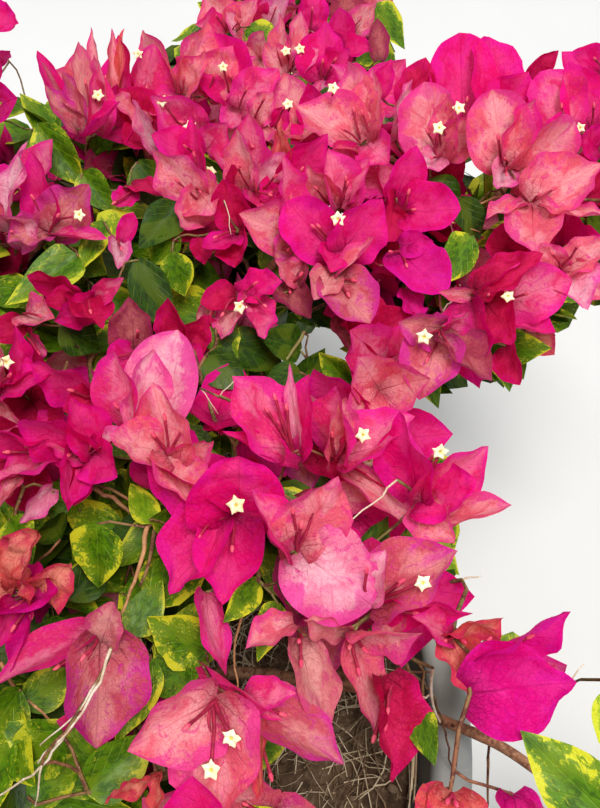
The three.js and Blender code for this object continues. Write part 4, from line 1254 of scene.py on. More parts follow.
# ------------------------------------------------------ grown by the rule ---
LEAFY = {"left_front": 0.45, "left_middle": 0.5, "left_back": 0.75, "front_low": 0.85}
MIXES = {
    "magenta": [("magenta", 0.6), ("violet", 0.16), ("hot", 0.16), ("crimson", 0.08)],
    "hot": [("hot", 0.52), ("salmon", 0.2), ("rose", 0.1), ("magenta", 0.18)],
    "salmon": [("salmon", 0.5), ("rose", 0.12), ("dusty", 0.12), ("hot", 0.16), ("pink", 0.1)],
    "pink": [("pink", 0.55), ("salmon", 0.45)],
    "coral": [("coral", 0.6), ("salmon", 0.3), ("crimson", 0.1)],
    "crimson": [("crimson", 0.55), ("magenta", 0.45)],
}
SPRAYS = [("magenta", 0.3), ("hot", 0.25), ("salmon", 0.29), ("pink", 0.05), ("coral", 0.05)]
SPRAYS += [("crimson", 0.06)]


def deal(r, choices):
    names, shares = zip(*choices)
    shares = np.array(shares) / sum(shares)
    return names[int(r.choice(len(names), p=shares))]


def bloom(r, at, axis, family):
    """Three bracts round two tubes, and now and then a third tube under an open flower."""
    helper = unit(np.cross(axis, r.normal(0, 1, 3)))
    other = np.cross(axis, helper)
    opening = r.uniform(36, 70)
    for k in range(3):
        a = k * 2.094 + r.normal(0, 0.16)
        out = helper * math.cos(a) + other * math.sin(a)
        tilt = math.radians(opening + r.normal(0, 9))
        d = unit(out * math.sin(tilt) + axis * math.cos(tilt))
        face = unit(axis * math.sin(tilt) - out * math.cos(tilt) + r.normal(0, 0.12, 3))
        length = r.uniform(0.031, 0.041)
        name = deal(r, MIXES[family])
        FAR_BRACTS[name].add(at + out * 0.002, d * length, face, length, length * r.uniform(0.72, 0.84))
        way = unit(d + face * 0.3)
        long = r.uniform(0.012, 0.018)
        if k < 2:
            tube(at + face * 0.001, at + way * long, False)
    if r.random() < 0.4:
        end = at + unit(axis + r.normal(0, 0.2, 3)) * 0.018
        stars.append((end, unit(axis + r.normal(0, 0.25, 3)), 0.0046, False))
        tube(at, end - unit(end - at) * 0.002, False, bud=False)


def spray_leaf(r, at, stem, outward, size=1.0):
    """One leaf on its stalk, turned up to the light."""
    side = unit(np.cross(stem, r.normal(0, 1, 3)))
    d = unit(stem * 0.4 + side * 0.9 + outward * 0.3 - UP * 0.12)
    face = unit(UP * 0.85 + outward * 0.35 + r.normal(0, 0.32, 3))
    base = at + d * 0.009
    length = r.uniform(0.036, 0.056) * size
    if not keeps_view(base + d * length * 0.5, 0.018) or not keeps_view(base + d * length * 0.95, 0.004):
        return
    tip = base + d * length
    if (tip < TIPS_LOW).any() or (tip > TIPS_HIGH).any():
        return
    kind = deal(r, [("variegated", 0.32), ("green", 0.3), ("dark", 0.3), ("yellowed", 0.08)])
    FAR_LEAVES[kind].add(base, d * length, face, length, length * r.uniform(0.5, 0.66))
    stalks.append((at, base + d * 0.001, 0.00055))


# A grown bloom's foot stays in the first of these boxes, and a grown leaf's tip in the second.
FEET_LOW = np.array(low_before, float) + [0.008, 0.008, 0.1]
FEET_HIGH = np.array(high_before, float) - [0.008, 0.008, 0.016]
TIPS_LOW = np.array(low_before, float) - [0.034, 0.036, -0.1]
TIPS_HIGH = np.array(high_before, float) + [0.034, 0.036, 0.02]
counts = {"sprays": 0, "blooms": 0}
for m, (mass, centre) in enumerate(CENTRES.items()):
    r = np.random.default_rng(900 + m)
    points, normals, area = skin("foliage_" + mass, 60, 500 + m, 0.034)
    share = LEAFY.get(mass, 1.0)
    for p, n in zip(points, normals):
        # fewer blooms underneath, where leaves take over
        chance = np.clip(0.5 + 0.75 * n[2], 0.1, 1.0) * share
        outward = unit(p - centre + UP * 0.02)
        root = p - n * 0.026
        family = deal(r, SPRAYS)
        if r.random() < chance:
            counts["sprays"] += 1
            many = int(r.integers(2, 4))
            for k in range(many):
                at = root + n * r.uniform(0.0, 0.008) + r.normal(0, 0.0125, 3)
                axis = unit(n * 0.75 + UP * 0.4 + r.normal(0, 0.38, 3))
                at = np.clip(at, FEET_LOW, FEET_HIGH)
                if not keeps_view(at + axis * 0.02, 0.034):
                    continue
                bloom(r, at, axis, family)
                targets.append((at, axis, mass, "bloom"))
                counts["blooms"] += 1
        else:
            for k in range(2):
                at = root + n * r.uniform(-0.004, 0.01) + r.normal(0, 0.014, 3)
                if keeps_view(at, 0.02):
                    targets.append((at, unit(outward + UP * 0.3), mass, "spray"))
    # leaves within the mass, behind the blooms
    inner, inward, _ = skin("foliage_" + mass, 22, 1500 + m, 0.05)
    for p, n in zip(inner, inward):
        at = p + (centre - p) * r.uniform(0.28, 0.5)
        if keeps_view(at, 0.02):
            targets.append((at, unit(p - centre + UP * 0.02), mass, "spray"))


# Longer shoots reach past the masses here and there, and break their outlines.
REACH_LOW = np.array(low_before, float) + [0.012, 0.012, 0.1]
REACH_HIGH = np.array(high_before, float) - [0.012, 0.012, 0.04]
for m, (mass, centre) in enumerate(CENTRES.items()):
    r = np.random.default_rng(3500 + m)
    points, normals, _ = skin("foliage_" + mass, 16, 3600 + m, 0.05)
    made = 0
    for p, n in zip(points, normals):
        if made == 4 or not -0.45 < n[2] < 0.75:
            continue
        out = unit(n * [1, 1, 0.3] + UP * r.uniform(-0.2, 0.35) + r.normal(0, 0.15, 3))
        reach = r.uniform(0.02, 0.05)
        end = p + out * reach
        if (end < REACH_LOW).any() or (end > REACH_HIGH).any():
            continue
        made += 1
        x, y, _ = (float(v[0]) for v in shown_at(end))
        if 480 < x < 2000 and 300 < y < 1000:
            continue
        if keeps_view(p, 0.02):
            targets.append((p, unit(out + UP * 0.2), mass, "spray"))
        family = deal(r, SPRAYS)
        flowering = r.random() < 0.6
        for k in range(2 if flowering else 1):
            at = np.clip(end + r.normal(0, 0.009, 3) * k, FEET_LOW, FEET_HIGH)
            axis = unit(out * 0.7 + UP * 0.5 + r.normal(0, 0.3, 3))
            if not keeps_view(at + axis * 0.02, 0.034):
                continue
            if flowering:
                bloom(r, at, axis, family)
                counts["blooms"] += 1
            targets.append((at, axis, mass, "bloom" if flowering else "spray"))


# Short shoots stand along the limbs between the masses, so that no limb is bare.
for k, (name, (line, r0, r1, mass)) in enumerate(LINES.items()):
    r = np.random.default_rng(2500 + k)
    outer = name.startswith("limb_outer")
    if outer:
        low_share, high_share = 0.12, 0.86
    elif name.startswith("cane_"):
        low_share, high_share = 0.56, 0.84
    else:
        low_share, high_share = 0.45, 0.85
    span = length_of(line) * (high_share - low_share)
    for share in np.linspace(low_share, high_share, max(3, int(span / (0.0135 if outer else 0.021)))):
        i = int(np.clip(round(200 * (share + r.uniform(-0.03, 0.03))), 1, 199))
        along = unit(line[i + 1] - line[i - 1])
        side = unit(np.cross(along, r.normal(0, 1, 3)) * [1, 1, 0.6] + UP * r.uniform(-0.1, 0.75))
        at = line[i] + side * r.uniform(0.022, 0.072 if outer else 0.05) + along * 0.01
        if math.hypot(at[0], at[1]) < 0.17:
            continue
        if r.random() < 0.5:
            family = deal(r, SPRAYS)
            for _ in range(int(r.integers(1, 3))):
                here = np.clip(at + r.normal(0, 0.011, 3), FEET_LOW, FEET_HIGH)
                axis = unit(side * 0.8 + UP * 0.4 + r.normal(0, 0.3, 3))
                if keeps_view(here + axis * 0.02, 0.034):
                    bloom(r, here, axis, family)
                    targets.append((here, axis, mass, "bloom"))
                    counts["blooms"] += 1
        elif keeps_view(at, 0.025):
            targets.append((at, unit(side + along * 0.4), mass, "spray"))


# ----------------------------------------------------------- the branching --
class Tree:
    """Points joined to the point that they grew from."""

    def __init__(self):
        self.at, self.parent, self.way, self.thick, self.chains = [], [], [], [], []

    def add(self, at, parent, way, thick=0.0):
        self.at.append(np.array(at, float))
        self.parent.append(parent)
        self.way.append(unit(way))
        self.thick.append(thick)
        return len(self.at) - 1


def grow_to(tree, start, end, arrive, steps, r, wander):
    """A curved twig from a point of the tree to a place, and its points."""
    a, b = tree.at[start], np.asarray(end, float)
    gone = np.linalg.norm(b - a)
    first = a + tree.way[start] * gone * 0.3 + unit(b - a) * gone * 0.08
    second = b - unit(arrive) * gone * 0.3
    chain = [start]
    for i in range(1, steps + 1):
        t = i / steps
        p = (1 - t) ** 3 * a + 3 * (1 - t) ** 2 * t * first + 3 * (1 - t) * t * t * second + t**3 * b
        if i < steps:
            p = p + r.normal(0, wander * gone, 3) * math.sin(math.pi * t)
        parent = chain[-1]
        way = p - tree.at[parent]
        chain.append(tree.add(p, parent, way))
    tree.chains.append(chain)
    return chain


trees = {}
mass_names = list(CENTRES)
mass_points = np.array([CENTRES[m] for m in mass_names])
by_mass = {m: [] for m in mass_names}
for at, way, mass, kind in targets:
    if mass is None:
        d = np.linalg.norm((mass_points - at) * [1, 1, 1.1], axis=1)
        mass = mass_names[int(d.argmin())]
    by_mass[mass].append((at, way, kind))

for m, mass in enumerate(mass_names):
    r = np.random.default_rng(3300 + m)
    tree = Tree()
    line, r0, r1, _ = next(v for v in LINES.values() if v[3] == mass)
    gone = length_of(line)
    # the last two thirds of its limb, from where shoots may leave
    stem = spaced(line[66:], max(6, int(gone * 0.67 / 0.016)))
    last = -1
    for i, p in enumerate(stem):
        way = stem[min(i + 1, len(stem) - 1)] - stem[max(i - 1, 0)]
        last = tree.add(p, last, way, r1 * 1.05)
    tree.stem = len(stem)
    # main boughs spread from the end of the limb to just under the skin
    boughs, ways, _ = skin("foliage_" + mass, 7, 7100 + m, 0.07)
    for p, n in zip(boughs, ways):
        if n[2] < -0.45:
            continue
        end = p + (CENTRES[mass] - p) * r.uniform(0.36, 0.5)
        grow_to(tree, tree.stem - int(r.integers(1, 4)), end, unit(p - CENTRES[mass] + UP * 0.01), 5, r, 0.03)
    order = sorted(by_mass[mass], key=lambda t: np.linalg.norm(t[0] - CENTRES[mass]))
    for at, way, kind in order:
        pts = np.array(tree.at)
        d = at - pts
        gap = np.linalg.norm(d, axis=1)
        turned = 1 - (np.array(tree.way) * unit(d)).sum(1)
        cost = gap * (1 + 0.35 * turned)
        cost[gap < 0.012] += 0.02
        start = int(cost.argmin())
        arrive = way if kind != "leaf" else -way
        steps = int(np.clip(round(gap[start] / 0.011), 3, 9))
        chain = grow_to(tree, start, at, unit(arrive * 0.8 + unit(d[start]) * 0.6), steps, r, 0.035)
        ends = [tree.at[i] for i in chain]
        outward = unit(at - CENTRES[mass] + UP * 0.02)
        if kind == "spray":
            for i in range(1, len(ends)):
                if i < len(ends) - 4:
                    continue
                for _ in range(2 if i >= len(ends) - 2 else 1):
                    spray_leaf(r, ends[i], unit(ends[i] - ends[i - 1]), outward)
        elif kind == "bloom" and len(ends) > 3:
            for i in (len(ends) - 2, len(ends) - 3):
                if r.random() < 0.62:
                    spray_leaf(r, ends[i], unit(ends[i] - ends[i - 1]), outward, 0.86)
    trees[mass] = tree


def ring_frames(line):
    """For each point of a line two directions square to it, turning as little as can be."""
    line = np.asarray(line, float)
    t = np.gradient(line, axis=0)
    t = unit(t)
    n = np.zeros_like(line)
    v = np.cross(t[0], [0.2, 0.35, 0.9])
    n[0] = unit(v if np.linalg.norm(v) > 1e-3 else np.cross(t[0], [1, 0, 0]))
    for i in range(1, len(line)):
        v = n[i - 1] - (n[i - 1] @ t[i]) * t[i]
        n[i] = unit(v)
    return n, np.cross(t, n)


def pipe(line, radii, sides, relief=None, tip=True):
    """A tapering tube along a line; relief(i, a) multiplies its radius."""
    line = np.asarray(line, float)
    n, b = ring_frames(line)
    a = 2 * math.pi * np.arange(sides) / sides
    radii = np.asarray(radii, float)[:, None]
    if relief is not None:
        radii = radii * relief
    ring = (
        line[:, None, :]
        + n[:, None, :] * (radii * np.cos(a))[:, :, None]
        + b[:, None, :] * (radii * np.sin(a))[:, :, None]
    )
    k = len(line)
    verts = ring.reshape(-1, 3)
    i = np.arange(k - 1)[:, None] * sides
    j = np.arange(sides)[None, :]
    nxt = (j + 1) % sides
    quads = np.stack([i + j, i + nxt, i + nxt + sides, i + j + sides], -1).reshape(-1, 4)
    faces = [quads]
    if tip:
        verts = np.vstack([verts, line[-1] + unit(line[-1] - line[-2]) * radii[-1].mean() * 0.8])
        top = len(verts) - 1
        low = (k - 1) * sides
        faces.append(np.stack([low + j[0], low + nxt[0], np.full(sides, top)], -1))
    return verts, faces


twigs = Heap()
TIP_R = 0.00072
for mass, tree in trees.items():
    at = np.array(tree.at)
    load = np.zeros(len(at))
    kids = np.bincount([p for p in tree.parent if p >= 0], minlength=len(at))
    load[kids == 0] = TIP_R**2.3
    for i in range(len(at) - 1, 0, -1):
        load[i] = max(load[i], TIP_R**2.3)
        load[tree.parent[i]] += load[i]
    thick = np.minimum(load ** (1 / 2.3), 0.0024)
    for chain in tree.chains:
        radii = thick[chain]
        radii[0] = min(radii[0], radii[1] * 1.15)
        radii = np.minimum.accumulate(radii)
        verts, faces = pipe(at[chain], radii, 5 if radii[0] > 0.0013 else 4)
        twigs.add(verts, faces)
for a, b, radius in stalks:
    verts, faces = pipe([a, b], [radius, radius * 0.8], 3, tip=False)
    twigs.add(verts, faces)

# ------------------------------------------------------------ bark relief ---
bark = Heap()


def bark_relief(r, rings, sides, length, radius, strong):
    """Furrows that run along the limb, and knuckles where shoots left it."""
    a = 2 * math.pi * np.arange(sides) / sides
    s = np.linspace(0, length, rings)[:, None]
    f = np.ones((rings, sides))
    for k, amount in ((3, 0.35), (5, 0.4), (8, 0.3)):
        drift = r.uniform(-1, 1) * s / 0.09 + 0.8 * np.sin(s / r.uniform(0.02, 0.05) + r.random() * 6)
        f += strong * amount * np.sin(k * a[None, :] + drift + r.random() * 6)
    for _ in range(int(length / 0.028)):
        where, round_ = r.uniform(0, length), r.uniform(0, 2 * math.pi)
        turn = np.abs((a[None, :] - round_ + math.pi) % (2 * math.pi) - math.pi)
        f += 0.2 * np.exp(-(((s - where) / 0.0035) ** 2) - (turn / 0.9) ** 2)
        f += 0.07 * np.exp(-(((s - where) / 0.003) ** 2))
    return f


for k, (name, (line, r0, r1, mass)) in enumerate(LINES.items()):
    r = np.random.default_rng(6100 + k)
    length = length_of(line)
    rings = max(14, int(length / 0.0042))
    path = spaced(line, rings)
    wob = np.linspace(0, 1, rings)
    sway = sum(
        np.outer(np.sin(wob * math.pi) * np.sin(wob * length / w + r.random() * 6), r.normal(0, 0.0011, 3))
        for w in (0.012, 0.021, 0.034)
    )
    path = path + sway
    t = np.linspace(0, 1, rings)
    radii = r0 + (r1 - r0) * t**0.8
    if name.startswith("cane_"):
        radii = radii * (1 + 0.35 * np.exp(-t * length / 0.02))
    else:
        radii = radii * (1 + 0.25 * np.exp(-t * length / 0.008))
    sides = 14 if name.startswith("cane_") else 10
    verts, faces = pipe(path, radii, sides, bark_relief(r, rings, sides, length, r0, 0.07))
    bark.add(verts, faces)
    # thorns, and stubs of old shoots, on the older wood
    for _ in range(int(length / 0.04)):
        i = int(r.integers(2, max(3, rings - 3)))
        way = unit(np.cross(path[i + 1] - path[i], r.normal(0, 1, 3)))
        long = r.uniform(0.004, 0.009)
        end = path[i] + way * (radii[i] + long) + unit(path[i + 1] - path[i]) * long * 0.25
        verts, faces = pipe(
            [path[i] + way * radii[i] * 0.7, (path[i] + end) / 2 + way * 0.001, end],
            [0.001, 0.0006, 0.0002],
            5,
        )
        bark.add(verts, faces)

trunk = Heap()
rings, sides = 64, 56
z = np.linspace(-0.004, 0.0855, rings)
share = np.clip(z / 0.0854, 0, 1)
centre_line = np.stack([0.009 * share**2, 0.006 * share**2, FOOT[2] + z], 1)
radius = np.where(
    share < 0.35,
    0.031 + (0.019 - 0.031) * np.sin(np.clip(share / 0.35, 0, 1) * math.pi / 2),
    0.019 + (0.015 - 0.019) * (share - 0.35) / 0.65,
)
a = 2 * math.pi * np.arange(sides) / sides
rt = np.random.default_rng(77)
f = 1 + 0.16 * np.clip(1 - share / 0.35, 0, 1)[:, None] * np.cos(5 * a + 0.6)[None, :]
for k, amount in ((4, 0.018), (7, 0.022), (11, 0.022), (17, 0.016)):
    drift = 1.4 * np.sin(share * rt.uniform(2, 5) + rt.random() * 6)[:, None]
    f = f + amount * np.sin(k * a[None, :] + drift + rt.random() * 6)
for _ in range(60):
    zc, ac = rt.uniform(0, 1), rt.uniform(0, 2 * math.pi)
    turn = np.abs((a[None, :] - ac + math.pi) % (2 * math.pi) - math.pi)
    f = f + rt.uniform(-0.07, 0.06) * np.exp(
        -(((share[:, None] - zc) / 0.05) ** 2) - (turn / rt.uniform(0.1, 0.3)) ** 2
    )
ring = centre_line[:, None, :] + np.stack(
    [radius[:, None] * f * np.cos(a), radius[:, None] * f * np.sin(a), np.zeros((rings, sides))], -1
)
verts = ring.reshape(-1, 3)
i, j = np.arange(rings - 1)[:, None] * sides, np.arange(sides)[None, :]
nxt = (j + 1) % sides
quads = np.stack([i + j, i + nxt, i + nxt + sides, i + j + sides], -1).reshape(-1, 4)
# a rounded, knobbly top between the canes
dome = []
for q, h in ((0.8, 0.004), (0.5, 0.0065), (0.2, 0.0078)):
    last = ring[-1]
    c = centre_line[-1]
    dome.append(c + (last - c) * q + UP * h)
verts = np.vstack([verts] + dome + [centre_line[-1] + UP * 0.008])
base = (rings - 1) * sides
more = []
for q in range(3):
    a0 = base + q * sides
    more.append(np.stack([a0 + j[0], a0 + nxt[0], a0 + sides + nxt[0], a0 + sides + j[0]], -1))
top = len(verts) - 1
a0 = base + 3 * sides
cap = np.stack([a0 + j[0], a0 + nxt[0], np.full(sides, top)], -1)
trunk.add(verts, [np.vstack([quads] + more), cap])

# ------------------------------------------------------ stems that show -----
dry = Heap()
tan = Heap()
for points, (s_a, s_b), radius, kind in STEMS:
    s = np.linspace(s_a, s_b, len(points))
    line = catmull([seen_at(x, y, q) for (x, y), q in zip(points, s)], 60)
    line = spaced(line, max(5, int(length_of(line) / 0.004)))
    rr = np.random.default_rng(int(points[0][0] * 7 + points[0][1]))
    line[1:-1] += rr.normal(0, 0.00035, (len(line) - 2, 3))
    radii = np.linspace(radius, radius * 0.55, len(line)) / 1000
    radii = radii * (1 + 0.12 * rr.random(len(line)))
    heap = {"dry": dry, "tan": tan, "twig": twigs}[kind]
    verts, faces = pipe(line, radii, 7)
    heap.add(verts, faces)

# ---------------------------------------------------------- tubes and stars --
tube_fine, tube_tips = Heap(), Heap()
tr = np.random.default_rng(5150)
for start, end, fine, bud in tubes:
    sides = 6 if fine else 3
    way = unit(end - start)
    side = unit(np.cross(way, tr.normal(0, 1, 3)))
    middle = (start + end) / 2 + side * 0.0009 - AHEAD * (0.0012 if fine else 0)
    long = np.linalg.norm(end - start)
    waist = 0.00072 if fine else 0.00095
    line = [start, (start + middle) / 2, middle, (middle + end) / 2, end] if fine else [start, middle, end]
    radii = [waist * 0.8, waist * 1.1, waist, waist * 0.9, waist * 1.15] if fine else [waist, waist, waist]
    verts, faces = pipe(line, radii, sides, tip=not bud)
    tube_fine.add(verts, faces)
    if bud:
        tipline = [end, end + way * 0.0013, end + way * 0.003]
        verts, faces = pipe(tipline, [waist * 1.1, waist * 1.45, waist * 0.8], sides)
        tube_tips.add(verts, faces)

petals, throats = Heap(), Heap()
for k, (at, axis, size, fine) in enumerate(stars):
    r = np.random.default_rng(12000 + k)
    helper = unit(np.cross(axis, r.normal(0, 1, 3)))
    other = np.cross(axis, helper)
    rings_at = [(0.16, 0.0), (0.42, 0.0008), (0.74, 0.0009), (1.0, 0.0)]
    n = 30 if fine else 10
    a = 2 * math.pi * np.arange(n) / n
    lobes = 1.06 - 0.38 * np.abs(np.sin(2.5 * a)) ** 0.85
    notch = 1 + r.normal(0, 0.025, n)
    rows = []
    for q, h in rings_at:
        shape = 1 + (lobes * notch - 1) * q
        height = h + 0.0004 * np.cos(5 * a + 1.2) * q + r.normal(0, 0.0002, n) * q
        rad = size * q * shape
        rows.append(
            at + helper * (rad * np.cos(a))[:, None] + other * (rad * np.sin(a))[:, None] + axis * height[:, None]
        )
    verts = np.vstack(rows)
    i, j = np.arange(3)[:, None] * n, np.arange(n)[None, :]
    nxt = (j + 1) % n
    quads = np.stack([i + j, i + nxt, i + nxt + n, i + j + n], -1).reshape(-1, 4)
    petals.add(verts, [quads])
    # a shallow cup in the middle
    cup = [
        at + helper * (size * q * np.cos(a[::2]))[:, None] + other * (size * q * np.sin(a[::2]))[:, None] + axis * h
        for q, h in ((0.2, 0.0003), (0.12, -0.0006))
    ]
    n2 = len(a[::2])
    verts = np.vstack(cup + [at - axis * 0.0009])
    j = np.arange(n2)
    nxt = (j + 1) % n2
    throats.add(
        verts,
        [np.stack([j, nxt, nxt + n2, j + n2], -1), np.stack([j + n2, nxt + n2, np.full(n2, 2 * n2)], -1)],
    )

# -------------------------------------------------------------- pot, soil ---
LIP_R, NECK_R, FOOT_R, WALL = 0.285, 0.266, 0.208, 0.006
PROFILE = [
    (0, 0), (0.06, 0), (0.12, 0), (FOOT_R - 0.006, 0), (FOOT_R - 0.0017, 0.0015), (FOOT_R, 0.005),
    (0.2226, 0.1), (0.2371, 0.19), (0.2516, 0.28), (NECK_R, 0.368), (0.2745, 0.3688),
    (LIP_R - 0.004, 0.37), (LIP_R - 0.001, 0.372), (LIP_R, 0.375), (LIP_R, 0.383), (LIP_R, 0.391),
    (LIP_R - 0.0012, 0.3948), (LIP_R - 0.0035, 0.3975), (LIP_R - 0.0065, 0.3993), (LIP_R - 0.01, 0.4),
    (LIP_R - 0.018, 0.4), (LIP_R - 0.0215, 0.399), (LIP_R - 0.024, 0.395), (0.262, 0.383),
    (NECK_R - WALL, 0.37), (0.2535, 0.34), (0.2374, 0.24), (0.2196, 0.12), (FOOT_R - WALL, 0.009), (0.1, 0.009), (0, 0.009),
]


def lathe(profile, sides, name, material, shape=None):
    p = np.array(profile)
    a = 2 * math.pi * np.arange(sides) / sides
    k = len(p)
    inner = p[1:-1]
    rows = np.stack(
        [inner[:, :1] * np.cos(a), inner[:, :1] * np.sin(a), np.repeat(inner[:, 1:], sides, 1)], -1
    )
    if shape is not None:
        rows = shape(rows, a)
    verts = np.vstack([rows.reshape(-1, 3), [[0, 0, p[0, 1]], [0, 0, p[-1, 1]]]])
    m = k - 2
    i, j = np.arange(m - 1)[:, None] * sides, np.arange(sides)[None, :]
    nxt = (j + 1) % sides
    quads = np.stack([i + j, i + nxt, i + nxt + sides, i + j + sides], -1).reshape(-1, 4)
    low = np.stack([np.full(sides, m * sides), nxt[0], j[0]], -1)
    end = (m - 1) * sides
    high = np.stack([end + j[0], end + nxt[0], np.full(sides, m * sides + 1)], -1)
    return build(name, verts, [quads, np.vstack([low, high])], material)


def pot_wear(rows, a):
    """Moulded plastic that has been knocked along its lip."""
    rr = np.random.default_rng(31)
    dent = np.zeros_like(a)
    for _ in range(26):
        c, w = rr.uniform(0, 2 * math.pi), rr.uniform(0.01, 0.03)
        turn = np.abs((a - c + math.pi) % (2 * math.pi) - math.pi)
        dent += rr.uniform(0.0003, 0.0009) * np.exp(-((turn / w) ** 2))
    top = np.clip((rows[:, :, 2] - 0.388) / 0.012, 0, 1)
    rows[:, :, 2] -= top * dent[None, :]
    return rows


pot = lathe(PROFILE, 144, "pot_shell", pot_material(), pot_wear)
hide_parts("pot")


def lumpy(x, y, seed, spans):
    r = np.random.default_rng(seed)
    out = np.zeros_like(x)
    for size, high in spans:
        for _ in range(7):
            a, p = r.uniform(0, math.pi), r.uniform(0, 2 * math.pi)
            k = 2 * math.pi / size * r.uniform(0.7, 1.3)
            out += high / 2.6 * np.sin(k * (x * math.cos(a) + y * math.sin(a)) + p)
    return out


edge_r = 0.2530
rings = 92
sides = 150
p_r = np.concatenate([np.linspace(0.004, edge_r, rings)])
a = 2 * math.pi * np.arange(sides) / sides


def banked(x, y):
    """How far the litter is banked up towards the wall."""
    q, t = np.hypot(x, y), np.arctan2(y, x)
    return 0.024 * np.clip((q - 0.2) / 0.053, 0, 1) ** 2 * (0.8 + 0.2 * np.sin(3 * t + 0.7) * np.cos(2 * t))


X, Y = p_r[:, None] * np.cos(a), p_r[:, None] * np.sin(a)
bank = banked(X, Y)
X, Y = (p_r[:, None] + 0.161 * bank) * np.cos(a), (p_r[:, None] + 0.161 * bank) * np.sin(a)
sr = np.random.default_rng(88)
H = SOIL - 0.001 + bank + lumpy(X, Y, 5, [(0.13, 0.0032), (0.05, 0.0022), (0.021, 0.0016), (0.011, 0.0011)])
H = H + 0.0007 * sr.random(H.shape)
H = H + 0.004 * np.exp(-((p_r[:, None] - 0.045) / 0.03) ** 2)
verts = np.stack([X, Y, H], -1).reshape(-1, 3)
verts = np.vstack([verts, [[0, 0, SOIL]]])
i, j = np.arange(rings - 1)[:, None] * sides, np.arange(sides)[None, :]
nxt = (j + 1) % sides
quads = np.stack([i + j, i + j + sides, i + nxt + sides, i + nxt], -1).reshape(-1, 4)
fan = np.stack([np.full(sides, rings * sides), j[0], nxt[0]], -1)
# down the inside of the wall and across the bottom
wall = [(edge_r - 0.0005, 0.3), (0.226, 0.16), (0.2, 0.0097), (0.1, 0.0097)]
ringset = [np.stack([q * np.cos(a), q * np.sin(a), np.full(sides, h)], -1) for q, h in wall]
first = len(verts)
verts = np.vstack([verts] + ringset + [[[0, 0, 0.0097]]])
more = []
before = (rings - 1) * sides
for q in range(4):
    here = first + q * sides
    more.append(np.stack([before + j[0], here + j[0], here + nxt[0], before + nxt[0]], -1))
    before = here
bottom = np.stack([before + nxt[0], before + j[0], np.full(sides, len(verts) - 1)], -1)
soil = build("soil_bed", verts, [np.vstack([quads] + more), np.vstack([fan, bottom])], soil_material())
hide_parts("soil")

crumbs, straw, chips = Heap(), Heap(), Heap()
ICO = np.array(
    [(0, 1, 1.618), (0, -1, 1.618), (0, 1, -1.618), (0, -1, -1.618), (1, 1.618, 0), (-1, 1.618, 0),
     (1, -1.618, 0), (-1, -1.618, 0), (1.618, 0, 1), (1.618, 0, -1), (-1.618, 0, 1), (-1.618, 0, -1)]
) / 1.902
ICO_F = np.array(
    [(0, 1, 8), (0, 10, 1), (0, 5, 10), (0, 4, 5), (0, 8, 4), (1, 6, 8), (1, 7, 6), (1, 10, 7), (2, 11, 3),
     (2, 5, 11), (2, 4, 5), (2, 9, 4), (2, 3, 9), (3, 7, 11), (3, 6, 7), (3, 9, 6), (4, 8, 9), (5, 11, 10),
     (6, 9, 8), (7, 10, 11)]
)
cr = np.random.default_rng(99)
for _ in range(1100):
    q, t = 0.245 * math.sqrt(cr.random()), 2 * math.pi * cr.random()
    if q < 0.034:
        continue
    size = cr.uniform(0.0009, 0.0034) * (1.5 if cr.random() < 0.06 else 1)
    shape = ICO * (1 + cr.normal(0, 0.18, (12, 1))) * size * cr.uniform(0.7, 1.2, 3)
    x, y = q * math.cos(t), q * math.sin(t)
    crumbs.add(shape + [x, y, SOIL + 0.0025 + float(banked(x, y))], [ICO_F])
for k in range(5200):
    q, t = 0.247 * math.sqrt(cr.random()), 2 * math.pi * cr.random()
    if q < 0.04:
        continue
    long = cr.uniform(0.012, 0.045) if cr.random() < 0.8 else cr.uniform(0.045, 0.1)
    way, n = cr.uniform(0, 2 * math.pi), 4
    s = np.linspace(-0.5, 0.5, n)
    ang = way + cr.normal(0, 0.7) * s
    dx = np.cumsum(np.cos(ang)) * long / n
    dy = np.cumsum(np.sin(ang)) * long / n
    x, y = q * math.cos(t) + dx - dx.mean(), q * math.sin(t) + dy - dy.mean()
    over = np.hypot(x, y)
    if over.max() > 0.25 or over.min() < 0.036:
        continue
    rise = cr.uniform(0.0005, 0.012) * cr.random()
    h = SOIL + cr.uniform(0.002, 0.0055) + rise * np.sin(math.pi * (s + 0.5)) + cr.normal(0, 0.3, 1) * s * long * 0.25
    h = np.maximum(h, SOIL + 0.0005) + banked(x, y)
    line = np.stack([x, y, h], 1)
    thin = cr.uniform(0.00028, 0.0007)
    verts, faces = pipe(line, np.linspace(thin, thin * 0.55, n), 3, tip=False)
    (straw if cr.random() < 0.5 else chips).add(verts, faces)
# and some that leans on the wall
cr = np.random.default_rng(101)
for k in range(420):
    t, long, tilt = 2 * math.pi * cr.random(), cr.uniform(0.014, 0.05), cr.normal(0, 0.42)
    s = np.linspace(0, 1, 4)
    ang = t + s * long * math.cos(tilt) / 0.255
    foot = float(banked(0.253 * math.cos(t), 0.253 * math.sin(t)))
    h = SOIL + foot + cr.uniform(0.001, 0.011) + (s if tilt > 0 else s - 1) * long * math.sin(tilt)
    h = np.minimum(h, SOIL + 0.03)
    near = 0.2518 + 0.161 * (h - SOIL) - cr.uniform(0, 0.003)
    line = np.stack([near * np.cos(ang), near * np.sin(ang), h], 1)
    thin = cr.uniform(0.0003, 0.0008)
    verts, faces = pipe(line, np.linspace(thin, thin * 0.55, 4), 3, tip=False)
    (straw if cr.random() < 0.5 else chips).add(verts, faces)

# ------------------------------------------------------------ the pieces ----
FOLIAGE = sorted(n for n in NODES if n.startswith("foliage_"))
WOOD = sorted(n for n in NODES if n.startswith(("cane_", "limb_")))


